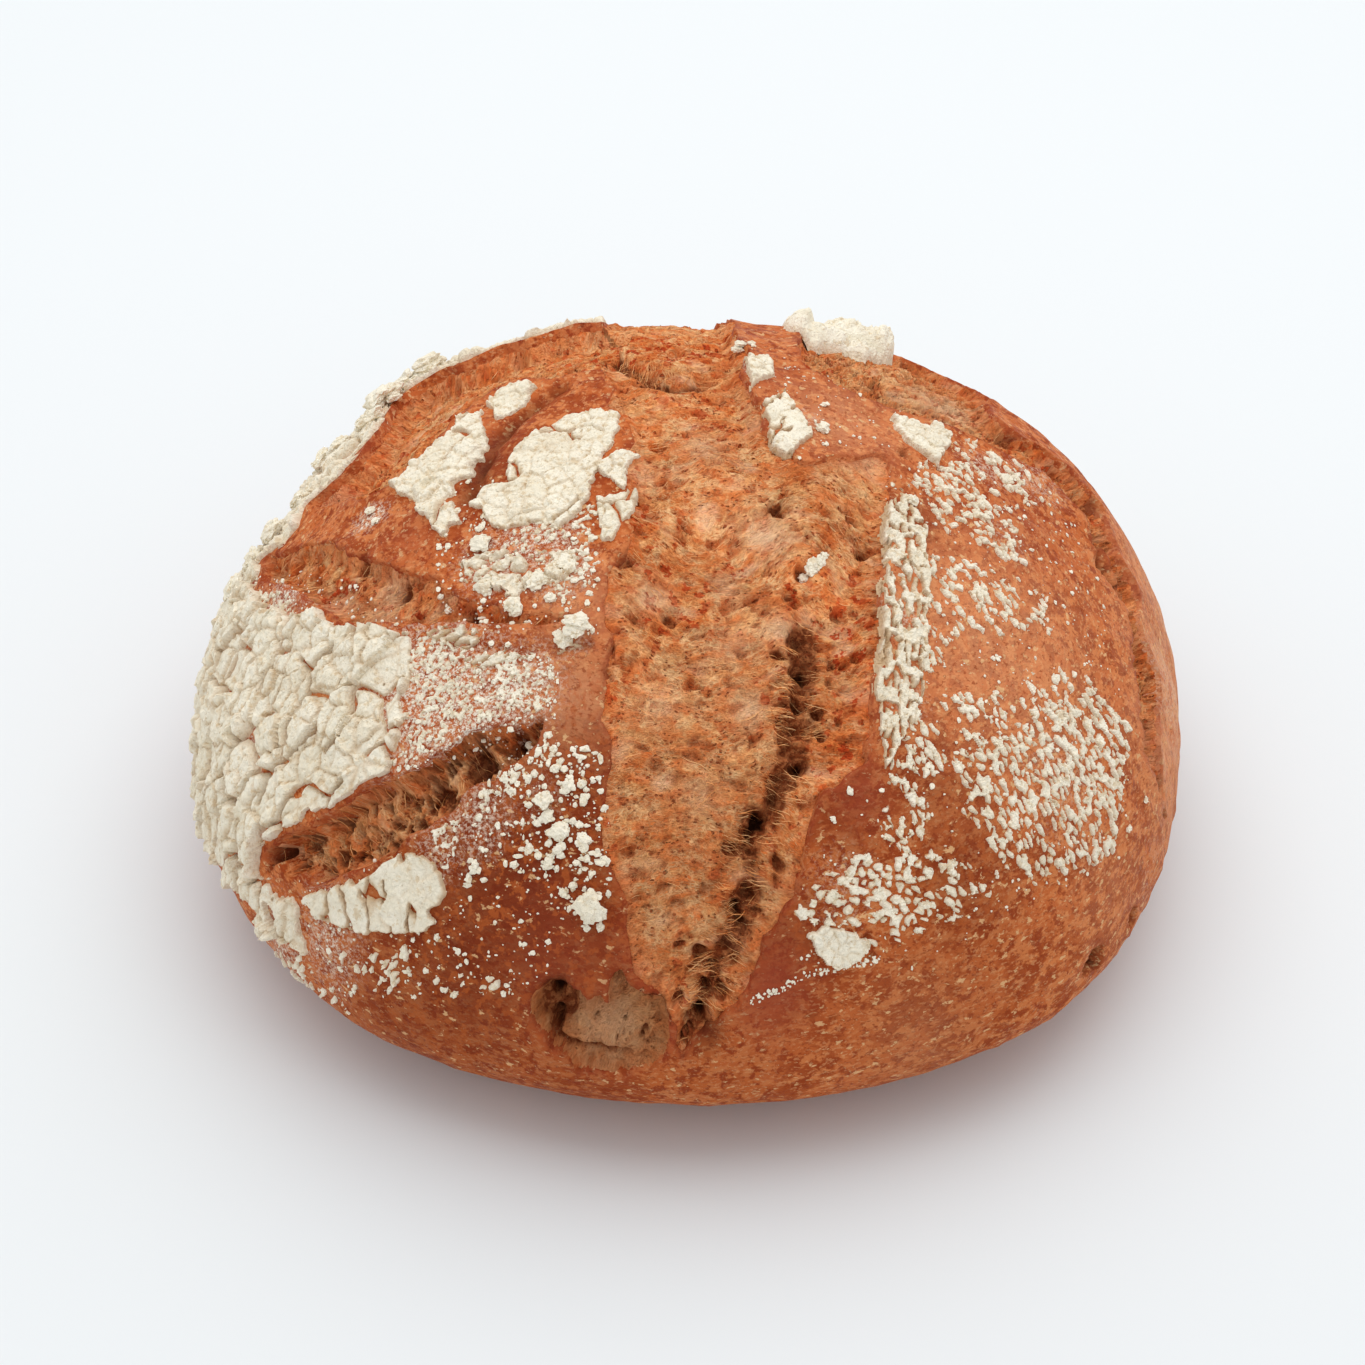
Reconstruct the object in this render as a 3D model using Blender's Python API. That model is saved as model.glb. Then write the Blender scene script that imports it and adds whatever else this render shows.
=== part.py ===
"""Country loaf: a round crusty loaf, torn open where it was scored, with dried flour caked on its crust.

It is one solid. A plain dome on a flat base carries everything else as relief: the torn furrows and
their raised lips, the slash, the burst blister, the bubble holes and the cakes of flour.
Metres, +Z up. The loaf stands on z = 0 with its middle over the origin, +X to its right, -Y to its front.
"""

import math

import bmesh
import bpy
import numpy as np

# Driving dimensions of the plain loaf, in metres.
HALF_WIDTH = 0.1195
HALF_DEPTH = 0.1190
HEIGHT = 0.1235
WIDEST_AT = 0.0305
FOOT_REACH = 0.0402

# How square the plain loaf is: 2 is an ellipse, more is boxier. Its right side is blunter than its left.
DOME_POWER = 1.9
FOOT_POWER = 2.2
PLAN_POWER = 2.24
PLAN_LEAN = 0.22

# Places on the crust are (right, back) from the crown on a flat map of it, at this scale.
MAP_PER_RADIAN = 0.105

# Many places were read off one picture of the loaf, in its own pixels. A sight line from where the
# picture was taken carries each of them to the crust.
PICTURE_MIDDLE = 682.5
PIXELS_PER_SLOPE = 3462.0
SIGHT_AIM = np.array([0.0, 0.0, 0.045])
SIGHT_DISTANCE = 0.85
SIGHT_RISE = math.radians(40)

# Relief, in metres.
SWELL = 0.0016
SWELL_SIZE = 0.055
EAR_FADE = 0.007
CRUST_DENT = 0.0005
CRUST_DENT_SIZE = 0.012
CRUMB_RIDGE = 0.0011
CRUMB_RIDGE_SIZE = 0.009
FOOT_FADE = 0.055

# The mesh: a square net drawn over the dome, then thinned where the loaf is smooth.
NET = 220
KEPT_TRIANGLES = 10800

CENTRE = np.array([0.0, 0.0, WIDEST_AT])
NOISE_TABLE = 256


def plain_norm(offsets):
    """How far out points lie, given as offsets from CENTRE: 1 on the plain loaf's skin, less inside it."""
    x, y, z = offsets[..., 0], offsets[..., 1], offsets[..., 2]
    power = PLAN_POWER + PLAN_LEAN * x / np.maximum(np.hypot(x, y), 1e-9)
    plan = (np.abs(x / HALF_WIDTH) ** power + np.abs(y / HALF_DEPTH) ** power) ** (1 / power)
    upper = z >= 0
    power = np.where(upper, DOME_POWER, FOOT_POWER)
    reach = np.where(upper, HEIGHT - WIDEST_AT, FOOT_REACH)
    return (plan**power + np.abs(z / reach) ** power) ** (1 / power)


def plain_normal(offsets):
    """The unit normals of the plain loaf's skin at points given as offsets from CENTRE."""
    step = 1e-5
    slopes = [plain_norm(offsets + step * axis) - plain_norm(offsets - step * axis) for axis in np.eye(3)]
    normals = np.stack(slopes, -1)
    return normals / np.linalg.norm(normals, axis=-1, keepdims=True)


def map_of(offsets):
    """Where offsets from CENTRE lie on the flat map of the crust."""
    level = np.hypot(offsets[..., 0], offsets[..., 1])
    reach = MAP_PER_RADIAN * np.arctan2(level, offsets[..., 2])
    return offsets[..., :2] * (reach / np.maximum(level, 1e-9))[..., None]


def seen(*pixels):
    """The places on the map where sight lines through these pixels of the picture meet the plain loaf."""
    spots = np.array(pixels, float)
    back = np.array([0.0, -math.cos(SIGHT_RISE), math.sin(SIGHT_RISE)])
    up = np.array([0.0, math.sin(SIGHT_RISE), math.cos(SIGHT_RISE)])
    across = (spots[:, 0] - PICTURE_MIDDLE) / PIXELS_PER_SLOPE
    rise = (PICTURE_MIDDLE - spots[:, 1]) / PIXELS_PER_SLOPE
    sight = across[:, None] * np.array([1.0, 0.0, 0.0]) + rise[:, None] * up - back
    depths = np.linspace(SIGHT_DISTANCE - 0.16, SIGHT_DISTANCE + 0.16, 1200)
    offsets = SIGHT_AIM + SIGHT_DISTANCE * back - CENTRE + depths[None, :, None] * sight[:, None, :]
    norms = plain_norm(offsets)
    inside = norms < 1
    first = np.where(inside.any(1), inside.argmax(1), norms.argmin(1))
    return map_of(offsets[np.arange(len(spots)), first])


def smooth_line(points, pieces=6):
    """Points along a smooth curve through the given ones."""
    points = np.asarray(points, float)
    ends = np.vstack([2 * points[0] - points[1], points, 2 * points[-1] - points[-2]])
    before, start, end, after = ends[:-3], ends[1:-2], ends[2:-1], ends[3:]
    share = (np.arange(pieces) / pieces)[None, :, None]
    before, start, end, after = (p[:, None, :] for p in (before, start, end, after))
    curve = start + 0.5 * share * (
        (end - before)
        + share * ((2 * before - 5 * start + 4 * end - after) + share * (3 * (start - end) + after - before))
    )
    return np.vstack([curve.reshape(-1, 2), points[-1:]])


def distance_to_line(places, line):
    """The distance from each place to a line of points."""
    starts, runs = line[:-1], np.diff(line, axis=0)
    lengths = np.maximum((runs**2).sum(1), 1e-12)
    nearest = np.full(len(places), np.inf)
    for start, run, length in zip(starts, runs, lengths):
        share = np.clip((places - start) @ run / length, 0, 1)
        nearest = np.minimum(nearest, ((places - start - share[:, None] * run) ** 2).sum(1))
    return np.sqrt(nearest)


def within(places, outline):
    """Whether each place lies inside a closed outline."""
    inside = np.zeros(len(places), bool)
    for (ax, ay), (bx, by) in zip(outline, np.roll(outline, -1, axis=0)):
        if ay != by:
            crosses = (ay > places[:, 1]) != (by > places[:, 1])
            inside ^= crosses & (places[:, 0] < ax + (places[:, 1] - ay) * (bx - ax) / (by - ay))
    return inside


def ease(value):
    """0 below 0, 1 above 1, and an even S between them."""
    value = np.clip(value, 0, 1)
    return value * value * (3 - 2 * value)


def noise_tables(seed=11):
    """Directions and an order to look them up in, for the noise."""
    draw = np.random.default_rng(seed)
    directions = draw.normal(size=(NOISE_TABLE, 3))
    directions /= np.linalg.norm(directions, axis=1, keepdims=True)
    return directions, draw.permutation(NOISE_TABLE)


DIRECTIONS, ORDER = noise_tables()


def table_entry(cells):
    """One entry of the noise tables for each cell of a grid in space."""
    entry = ORDER[cells[..., 0] % NOISE_TABLE]
    entry = ORDER[(entry + cells[..., 1]) % NOISE_TABLE]
    return ORDER[(entry + cells[..., 2]) % NOISE_TABLE]


def noise(points, size):
    """Smooth noise in space, about -1 to 1, with lumps about this size across."""
    scaled = points / size
    cells = np.floor(scaled).astype(int)
    inner = scaled - cells
    weight = inner**3 * (inner * (inner * 6 - 15) + 10)
    total = np.zeros(points.shape[:-1])
    for corner in np.ndindex(2, 2, 2):
        corner = np.array(corner)
        share = np.where(corner, weight, 1 - weight).prod(-1)
        total += share * (DIRECTIONS[table_entry(cells + corner)] * (inner - corner)).sum(-1)
    return 1.6 * total


def lumps(points, size):
    """Rounded lumps about this size packed side by side, in space: 1 at a lump's middle, 0 in a crack."""
    scaled = points / size
    cells = np.floor(scaled).astype(int)
    first = np.full(points.shape[:-1], np.inf)
    second = first.copy()
    for corner in np.ndindex(3, 3, 3):
        cell = cells + np.array(corner) - 1
        seed = cell + 0.5 + 0.45 * DIRECTIONS[table_entry(cell)]
        away = np.linalg.norm(scaled - seed, axis=-1)
        second = np.minimum(second, np.maximum(first, away))
        first = np.minimum(first, away)
    return ease((second - first) / 0.22)


def tear(left, right, left_depth, right_depth, left_lip, right_lip, left_ear, right_ear):
    """A furrow torn between two banks, its depth beside each, how wide each lip is and how high it stands."""
    return {
        "banks": (smooth_line(left), smooth_line(right)),
        "depths": (left_depth, right_depth),
        "lips": (left_lip, right_lip),
        "ears": (left_ear, right_ear),
    }


def main_tear():
    """The widest tear, from low on the front over the crown and some way down the back."""
    left = np.vstack([
        seen((685, 1052), (652, 988), (628, 940), (614, 887), (606, 800), (603, 720), (605, 640)),
        seen((620, 560), (631, 490), (627, 430), (604, 372)),
        [(-0.022, 0.100), (-0.020, 0.126), (-0.012, 0.146)],
    ])
    right = np.vstack([
        seen((685, 1052), (735, 1005), (775, 924), (800, 870), (826, 797), (866, 765), (876, 690)),
        seen((882, 580), (890, 508), (888, 462), (845, 458), (790, 462), (752, 402), (744, 352)),
        [(0.012, 0.106), (0.004, 0.128), (-0.012, 0.146)],
    ])
    return tear(left, right, 0.0018, 0.0032, 0.004, 0.005, 0.0003, 0.0020)


def back_left_tear():
    """The tear that branches off behind the crown and runs down to the left, under a thick lip."""
    left = seen((604, 372), (545, 380), (492, 388), (440, 435), (392, 486), (345, 499), (312, 505))
    right = seen((640, 326), (572, 337), (516, 352), (464, 369), (412, 393), (366, 445), (312, 505))
    return tear(left, right, 0.0030, 0.0050, 0.004, 0.004, 0.0010, 0.0022)


def left_tear():
    """The short tear above the big flour cake, which thins out into a crease."""
    left = seen((262, 568), (275, 590), (320, 613), (372, 624), (430, 628), (500, 630), (588, 634))
    right = seen((262, 568), (288, 548), (330, 545), (388, 566), (440, 585), (500, 606), (588, 630))
    return tear(left, right, 0.0040, 0.0028, 0.003, 0.004, 0.0016, 0.0008)


def right_tear():
    """The tear that runs from behind the crown round the loaf's right side."""
    left = np.vstack([
        [(0.034, 0.104)],
        seen((800, 358), (849, 392), (925, 418), (990, 450), (1040, 484), (1075, 520), (1092, 562)),
        seen((1110, 640), (1120, 720), (1132, 780), (1150, 800)),
    ])
    right = np.vstack([
        [(0.034, 0.104), (0.056, 0.096), (0.082, 0.084)],
        seen((1000, 420), (1070, 470), (1120, 530), (1140, 600), (1155, 690), (1157, 760), (1150, 800)),
    ])
    return tear(left, right, 0.0028, 0.0038, 0.004, 0.004, 0.0012, 0.0010)


def slash():
    """The straight cut on the left, opened like an eye."""
    left = seen((268, 856), (300, 880), (337, 877), (404, 843), (461, 807), (528, 756), (548, 726))
    right = seen((268, 856), (303, 834), (360, 800), (427, 761), (483, 730), (520, 722), (548, 726))
    return tear(left, right, 0.0040, 0.0050, 0.002, 0.0025, 0.0006, 0.0008)


def blister():
    """The burst blister at the foot of the main tear."""
    left = seen((536, 996), (552, 1044), (590, 1062), (645, 1066), (672, 1046))
    right = seen((536, 996), (566, 986), (610, 972), (650, 980), (672, 1046))
    return tear(left, right, 0.0050, 0.0030, 0.0015, 0.003, 0.0008, 0.0006)


def hidden_tear():
    """A short tear low on the back, where the loaf also gave way."""
    left = [(-0.105, 0.085), (-0.080, 0.112), (-0.050, 0.134), (-0.022, 0.146)]
    right = [(-0.105, 0.085), (-0.070, 0.102), (-0.042, 0.124), (-0.022, 0.146)]
    return tear(left, right, 0.0036, 0.0036, 0.003, 0.003, 0.0008, 0.0008)


def ditches():
    """Narrow deep lines in the tears: (line, half width, depth)."""
    crevice = seen((806, 632), (801, 700), (790, 765), (762, 822), (747, 870), (742, 925), (712, 980), (702, 1022))
    top_pit = seen((612, 352), (640, 366), (668, 376), (700, 372))
    overhang = seen((350, 470), (372, 484), (396, 476))
    return (
        (smooth_line(crevice), 0.0042, 0.0075),
        (smooth_line(top_pit), 0.0045, 0.0045),
        (smooth_line(overhang), 0.0020, 0.0030),
    )


def holes():
    """Bubble holes in the crust: (place, radius, depth)."""
    found = []
    for x, y, radius, depth in (
        (476, 765, 0.0030, 0.0045),
        (553, 1004, 0.0040, 0.0060),
        (1119, 607, 0.0026, 0.0040),
        (1155, 786, 0.0030, 0.0040),
        (1095, 957, 0.0040, 0.0050),
        (1133, 918, 0.0026, 0.0040),
    ):
        found.append((seen((x, y))[0], radius, depth))
    return found


def calm_share(places):
    """The share of the tears' depth and lips that is left at each place: little behind the crown's right."""
    middle, radius, taken = seen((845, 476))[0], 0.017, 0.7
    return 1 - taken * np.exp(-((places - middle) ** 2).sum(1) / radius**2)


def flour_cakes():
    """The cakes of dried flour: (outline, thickness, size of the lumps it has cracked into)."""
    left_cheek = seen(
        (196, 690), (222, 606), (262, 586), (290, 630), (415, 632), (420, 715), (396, 778), (302, 828),
        (262, 870), (306, 948), (236, 886), (196, 780),
    )
    below_slash = seen((311, 900), (360, 866), (432, 852), (448, 885), (428, 933), (340, 926))
    first_sheet = seen((393, 487), (446, 440), (482, 413), (488, 450), (455, 487), (466, 526), (443, 543))
    second_sheet = seen((469, 498), (515, 455), (587, 406), (618, 415), (632, 500), (612, 541), (510, 608), (460, 566))
    right_rim = seen((888, 415), (954, 436), (1016, 545), (984, 565), (925, 500), (914, 640), (878, 690), (884, 512))
    right_field = seen(
        (890, 779), (987, 747), (1054, 694), (1115, 720), (1112, 850), (1009, 881), (867, 961), (805, 930), (888, 822),
    )
    chips = seen((744, 362), (775, 362), (816, 436), (790, 461), (762, 412))
    back_right = np.vstack([seen((804, 330), (888, 342)), [(0.078, 0.096), (0.058, 0.112), (0.036, 0.112)]])
    ridge = np.vstack([
        seen((640, 324), (572, 337), (516, 352), (464, 369), (412, 393), (366, 445), (312, 505), (255, 582)),
        [(-0.150, 0.030), (-0.128, 0.058), (-0.094, 0.080), (-0.056, 0.104), (-0.026, 0.110)],
    ])
    return (
        (left_cheek, 0.0024, 0.012),
        (below_slash, 0.0016, 0.011),
        (first_sheet, 0.0015, 0.016),
        (second_sheet, 0.0014, 0.014),
        (right_rim, 0.0013, 0.011),
        (right_field, 0.0009, 0.009),
        (chips, 0.0014, 0.010),
        (back_right, 0.0022, 0.014),
        (ridge, 0.0020, 0.011),
    )


def tear_relief(places, points, made):
    """(depth, height of the lips, whether torn) that one tear gives each place."""
    left, right = (distance_to_line(places, bank) for bank in made["banks"])
    torn = within(places, np.vstack([made["banks"][0], made["banks"][1][::-1]]))
    across = left / np.maximum(left + right, 1e-9)
    depth = made["depths"][0] + (made["depths"][1] - made["depths"][0]) * ease(across)
    depth *= ease(left / made["lips"][0]) * ease(right / made["lips"][1])
    depth += CRUMB_RIDGE * noise(points, CRUMB_RIDGE_SIZE) * ease(np.minimum(left, right) / made["lips"][0])
    ears = np.maximum(*(height * np.exp(-away / EAR_FADE) for height, away in zip(made["ears"], (left, right))))
    return np.where(torn, depth, 0), ears, torn


def relief(points, places):
    """The height of the relief over the plain loaf, at points of its skin and their places on the map."""
    depth, ears = np.zeros(len(points)), np.zeros(len(points))
    torn = np.zeros(len(points), bool)
    for made in (main_tear(), back_left_tear(), left_tear(), right_tear(), slash(), blister(), hidden_tear()):
        sunk, raised, opened = tear_relief(places, points, made)
        depth, ears, torn = np.maximum(depth, sunk), np.maximum(ears, raised), torn | opened
    calm = calm_share(places)
    depth, ears = depth * calm, ears * calm
    crust = ears + CRUST_DENT * noise(points, CRUST_DENT_SIZE)
    for outline, thickness, size in flour_cakes():
        edge = distance_to_line(places, np.vstack([outline, outline[:1]]))
        cake = thickness * ease(edge / 0.003) * (0.35 + 0.65 * lumps(points, size))
        crust += np.where(within(places, outline), cake, 0)
    height = np.where(torn, -depth, crust)
    for line, half_width, deep in ditches():
        height -= deep * np.exp(-((distance_to_line(places, line) / half_width) ** 2))
    for place, radius, deep in holes():
        height -= deep * np.exp(-(((places - place) ** 2).sum(1) / radius**2) ** 2)
    return height + SWELL * noise(points, SWELL_SIZE)


def net_over_disc(count):
    """A square net of count x count cells bent onto a disc of radius 1: (points, faces, rim in order)."""
    steps = np.linspace(-1, 1, count + 1)
    p, q = np.meshgrid(steps, steps, indexing="ij")
    points = np.stack([p * np.sqrt(1 - q**2 / 2), q * np.sqrt(1 - p**2 / 2)], -1).reshape(-1, 2)
    number = np.arange((count + 1) ** 2).reshape(count + 1, count + 1)
    faces = np.stack([number[:-1, :-1], number[1:, :-1], number[1:, 1:], number[:-1, 1:]], -1).reshape(-1, 4)
    rim = np.concatenate([number[:-1, 0], number[-1, :-1], number[:0:-1, -1], number[0, :0:-1]])
    return points, faces, rim


def loaf_points(disc):
    """The loaf's surface over a disc whose middle is the crown and whose rim is the edge of the flat base."""
    turn = np.arctan2(disc[:, 1], disc[:, 0])
    level = np.stack([np.cos(turn), np.sin(turn), np.zeros(len(turn))], -1)
    foot_share = (1 - (WIDEST_AT / FOOT_REACH) ** FOOT_POWER) ** (1 / FOOT_POWER)
    foot_tilt = np.arctan2(foot_share / plain_norm(level), -WIDEST_AT)
    tilt = np.hypot(disc[:, 0], disc[:, 1]) * foot_tilt
    sight = level * np.sin(tilt)[:, None] + np.cos(tilt)[:, None] * np.array([0.0, 0.0, 1.0])
    offsets = sight / plain_norm(sight)[:, None]
    points = CENTRE + offsets
    heights = relief(points, map_of(offsets)) * ease(points[:, 2] / FOOT_FADE * 2)
    points += heights[:, None] * plain_normal(offsets)
    rim = np.hypot(disc[:, 0], disc[:, 1]) > 1 - 1e-6
    points[:, 2] = np.where(rim, 0, np.maximum(points[:, 2], 0.0002))
    return points


def crust_material():
    """The browned crust's plain finish."""
    material = bpy.data.materials.new("crust")
    material.use_nodes = True
    shader = material.node_tree.nodes["Principled BSDF"]
    shader.inputs["Base Color"].default_value = (0.46, 0.17, 0.06, 1)
    shader.inputs["Roughness"].default_value = 0.75
    shader.inputs["Metallic"].default_value = 0
    return material


def make_loaf():
    """The loaf as one closed mesh, thinned to the triangles it may keep."""
    disc, faces, rim = net_over_disc(NET)
    mesh = bpy.data.meshes.new("loaf")
    mesh.from_pydata(loaf_points(disc).tolist(), [], faces.tolist() + [rim[::-1].tolist()])
    made = bmesh.new()
    made.from_mesh(mesh)
    bmesh.ops.triangulate(made, faces=made.faces)
    bmesh.ops.recalc_face_normals(made, faces=made.faces)
    made.to_mesh(mesh)
    made.free()
    loaf = bpy.data.objects.new("loaf", mesh)
    bpy.context.scene.collection.objects.link(loaf)
    thinned = loaf.modifiers.new("thinned", "DECIMATE")
    thinned.ratio = KEPT_TRIANGLES / len(mesh.polygons)
    mesh.shade_smooth()
    mesh.materials.append(crust_material())
    return loaf


def main():
    for old in list(bpy.data.objects):
        bpy.data.objects.remove(old)
    make_loaf()


main()
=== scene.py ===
"""The looks of the country loaf: browned crust, torn crumb with its strands, and dried flour.

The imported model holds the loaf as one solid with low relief. This script draws that form again as a fine
crust, with more detail in its tears, and lays the torn crumb and the flour over it.
"""

import math

import bpy
import numpy as np
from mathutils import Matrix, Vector


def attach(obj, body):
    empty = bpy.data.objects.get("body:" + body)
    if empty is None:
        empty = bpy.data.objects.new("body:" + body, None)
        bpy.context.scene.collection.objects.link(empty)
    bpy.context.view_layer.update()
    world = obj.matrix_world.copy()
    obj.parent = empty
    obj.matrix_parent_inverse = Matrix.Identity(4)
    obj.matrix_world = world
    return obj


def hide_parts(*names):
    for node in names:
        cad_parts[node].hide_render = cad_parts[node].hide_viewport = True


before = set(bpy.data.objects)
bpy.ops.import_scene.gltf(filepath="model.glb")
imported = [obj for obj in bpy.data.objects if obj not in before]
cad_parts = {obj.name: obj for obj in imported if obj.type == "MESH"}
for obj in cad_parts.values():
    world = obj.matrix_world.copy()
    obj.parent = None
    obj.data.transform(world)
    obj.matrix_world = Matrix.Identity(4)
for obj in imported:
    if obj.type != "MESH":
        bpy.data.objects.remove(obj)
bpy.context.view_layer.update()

# The plain loaf, in metres, as the model has it.
HALF_WIDTH = 0.1195
HALF_DEPTH = 0.1190
HEIGHT = 0.1235
WIDEST_AT = 0.0305
FOOT_REACH = 0.0402
DOME_POWER = 1.9
FOOT_POWER = 2.2
PLAN_POWER = 2.24
PLAN_LEAN = 0.22
SWELL = 0.0016
SWELL_SIZE = 0.055
EAR_FADE = 0.007
FOOT_FADE = 0.055
CENTRE = np.array([0.0, 0.0, WIDEST_AT])

# Places on the crust are (right, back) from the crown on a flat map of it, at this scale.
MAP_PER_RADIAN = 0.105

# The viewpoint of the photograph, whose pixels place much of what follows.
PICTURE_MIDDLE = 682.5
PIXELS_PER_SLOPE = 3462.0
SIGHT_AIM = np.array([0.0, 0.0, 0.045])
SIGHT_DISTANCE = 0.85
SIGHT_RISE = math.radians(40)

# How finely things are drawn: cells across the crust's net, and points along each strand.
CRUST_NET = 290
STRAND_STEPS = 7

# How far the crust lies under the crumb in a tear, and how far the flour's border dips into the crust.
UNDER_CRUMB = 0.0026
UNDER_FLOUR = 0.0007

# How far inside a tear the crust has dived under the crumb.
DIVE_REACH = 0.0012

# How many directions the noise is made from.
NOISE_TABLE = 256


# Form and map of the loaf


def plain_norm(offsets):
    """How far out points lie, given as offsets from CENTRE: 1 on the plain loaf's skin, less inside it."""
    x, y, z = offsets[..., 0], offsets[..., 1], offsets[..., 2]
    power = PLAN_POWER + PLAN_LEAN * x / np.maximum(np.hypot(x, y), 1e-9)
    plan = (np.abs(x / HALF_WIDTH) ** power + np.abs(y / HALF_DEPTH) ** power) ** (1 / power)
    upper = z >= 0
    power = np.where(upper, DOME_POWER, FOOT_POWER)
    reach = np.where(upper, HEIGHT - WIDEST_AT, FOOT_REACH)
    return (plan**power + np.abs(z / reach) ** power) ** (1 / power)


def plain_normal(offsets):
    """The unit normals of the plain loaf's skin at points given as offsets from CENTRE."""
    step = 1e-5
    slopes = [plain_norm(offsets + step * axis) - plain_norm(offsets - step * axis) for axis in np.eye(3)]
    normals = np.stack(slopes, -1)
    return normals / np.linalg.norm(normals, axis=-1, keepdims=True)


def map_of(offsets):
    """Where offsets from CENTRE lie on the flat map of the crust."""
    level = np.hypot(offsets[..., 0], offsets[..., 1])
    reach = MAP_PER_RADIAN * np.arctan2(level, offsets[..., 2])
    return offsets[..., :2] * (reach / np.maximum(level, 1e-9))[..., None]


def skin(places):
    """(points, normals) of the plain loaf's skin at places on the map."""
    reach = np.hypot(places[:, 0], places[:, 1])
    tilt = reach / MAP_PER_RADIAN
    level = places / np.maximum(reach, 1e-9)[:, None]
    sight = np.column_stack([level * np.sin(tilt)[:, None], np.cos(tilt)])
    offsets = sight / plain_norm(sight)[:, None]
    return CENTRE + offsets, plain_normal(offsets)


def seen(*pixels):
    """The places on the map where sight lines through these pixels of the photograph meet the plain loaf."""
    spots = np.array(pixels, float)
    back = np.array([0.0, -math.cos(SIGHT_RISE), math.sin(SIGHT_RISE)])
    up = np.array([0.0, math.sin(SIGHT_RISE), math.cos(SIGHT_RISE)])
    across = (spots[:, 0] - PICTURE_MIDDLE) / PIXELS_PER_SLOPE
    rise = (PICTURE_MIDDLE - spots[:, 1]) / PIXELS_PER_SLOPE
    sight = across[:, None] * np.array([1.0, 0.0, 0.0]) + rise[:, None] * up - back
    depths = np.linspace(SIGHT_DISTANCE - 0.16, SIGHT_DISTANCE + 0.16, 1200)
    offsets = SIGHT_AIM + SIGHT_DISTANCE * back - CENTRE + depths[None, :, None] * sight[:, None, :]
    norms = plain_norm(offsets)
    inside = norms < 1
    first = np.where(inside.any(1), inside.argmax(1), norms.argmin(1))
    return map_of(offsets[np.arange(len(spots)), first])


def foot(points):
    """The share of its relief that the loaf keeps: none at the edge of its flat base."""
    return ease(points[:, 2] / FOOT_FADE * 2)


def raised(points, normals, height):
    """Points of the plain skin moved out along its normals by a height that fades towards the flat base."""
    return points + (height * foot(points))[:, None] * normals


# Lines and outlines on the map


def smooth_line(points, pieces=6):
    """Points along a smooth curve through the given ones."""
    points = np.asarray(points, float)
    ends = np.vstack([2 * points[0] - points[1], points, 2 * points[-1] - points[-2]])
    before, start, end, after = (p[:, None, :] for p in (ends[:-3], ends[1:-2], ends[2:-1], ends[3:]))
    share = (np.arange(pieces) / pieces)[None, :, None]
    curve = start + 0.5 * share * (
        (end - before)
        + share * ((2 * before - 5 * start + 4 * end - after) + share * (3 * (start - end) + after - before))
    )
    return np.vstack([curve.reshape(-1, 2), points[-1:]])


def distance_to_line(places, line, far=0.03):
    """The distance from each place to a line of points, or far where it is farther than that."""
    nearest = np.full(len(places), far**2)
    low, high = line.min(0) - far, line.max(0) + far
    close = np.flatnonzero(((places > low) & (places < high)).all(1))
    spots = places[close]
    best = nearest[close]
    for start, end in zip(line[:-1], line[1:]):
        run = end - start
        share = np.clip((spots - start) @ run / max(run @ run, 1e-12), 0, 1)
        best = np.minimum(best, ((spots - start - share[:, None] * run) ** 2).sum(1))
    nearest[close] = best
    return np.sqrt(nearest)


def within(places, outline):
    """Whether each place lies inside a closed outline."""
    inside = np.zeros(len(places), bool)
    close = np.flatnonzero(((places > outline.min(0)) & (places < outline.max(0))).all(1))
    spots = places[close]
    hit = np.zeros(len(close), bool)
    for (ax, ay), (bx, by) in zip(outline, np.roll(outline, -1, axis=0)):
        if ay != by:
            crosses = (ay > spots[:, 1]) != (by > spots[:, 1])
            hit ^= crosses & (spots[:, 0] < ax + (spots[:, 1] - ay) * (bx - ax) / (by - ay))
    inside[close] = hit
    return inside


def inset(places, outline, far=0.03):
    """How far inside a closed outline each place is, below 0 outside it."""
    away = distance_to_line(places, np.vstack([outline, outline[:1]]), far)
    return np.where(within(places, outline), away, -away)


def ease(value):
    """0 below 0, 1 above 1, and an even S between them."""
    value = np.clip(value, 0, 1)
    return value * value * (3 - 2 * value)


def near(places, pixel, radius):
    """1 at a pixel of the photograph, fading to 0 round it over about this radius."""
    return np.exp(-((places - seen(pixel)[0]) ** 2).sum(1) / radius**2)


def zone(places, spots):
    """The strongest of several (pixel, radius, strength) spots at each place."""
    total = np.zeros(len(places))
    for pixel, radius, strength in spots:
        total = np.maximum(total, strength * near(places, pixel, radius))
    return total


# Noise


def noise_tables(seed=11):
    """Directions and an order to look them up in, for the noise."""
    draw = np.random.default_rng(seed)
    directions = draw.normal(size=(NOISE_TABLE, 3))
    directions /= np.linalg.norm(directions, axis=1, keepdims=True)
    return directions, draw.permutation(NOISE_TABLE)


DIRECTIONS, ORDER = noise_tables()


def table_entry(cells):
    """One entry of the noise tables for each cell of a grid in space."""
    entry = ORDER[cells[..., 0] % NOISE_TABLE]
    entry = ORDER[(entry + cells[..., 1]) % NOISE_TABLE]
    return ORDER[(entry + cells[..., 2]) % NOISE_TABLE]


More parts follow.
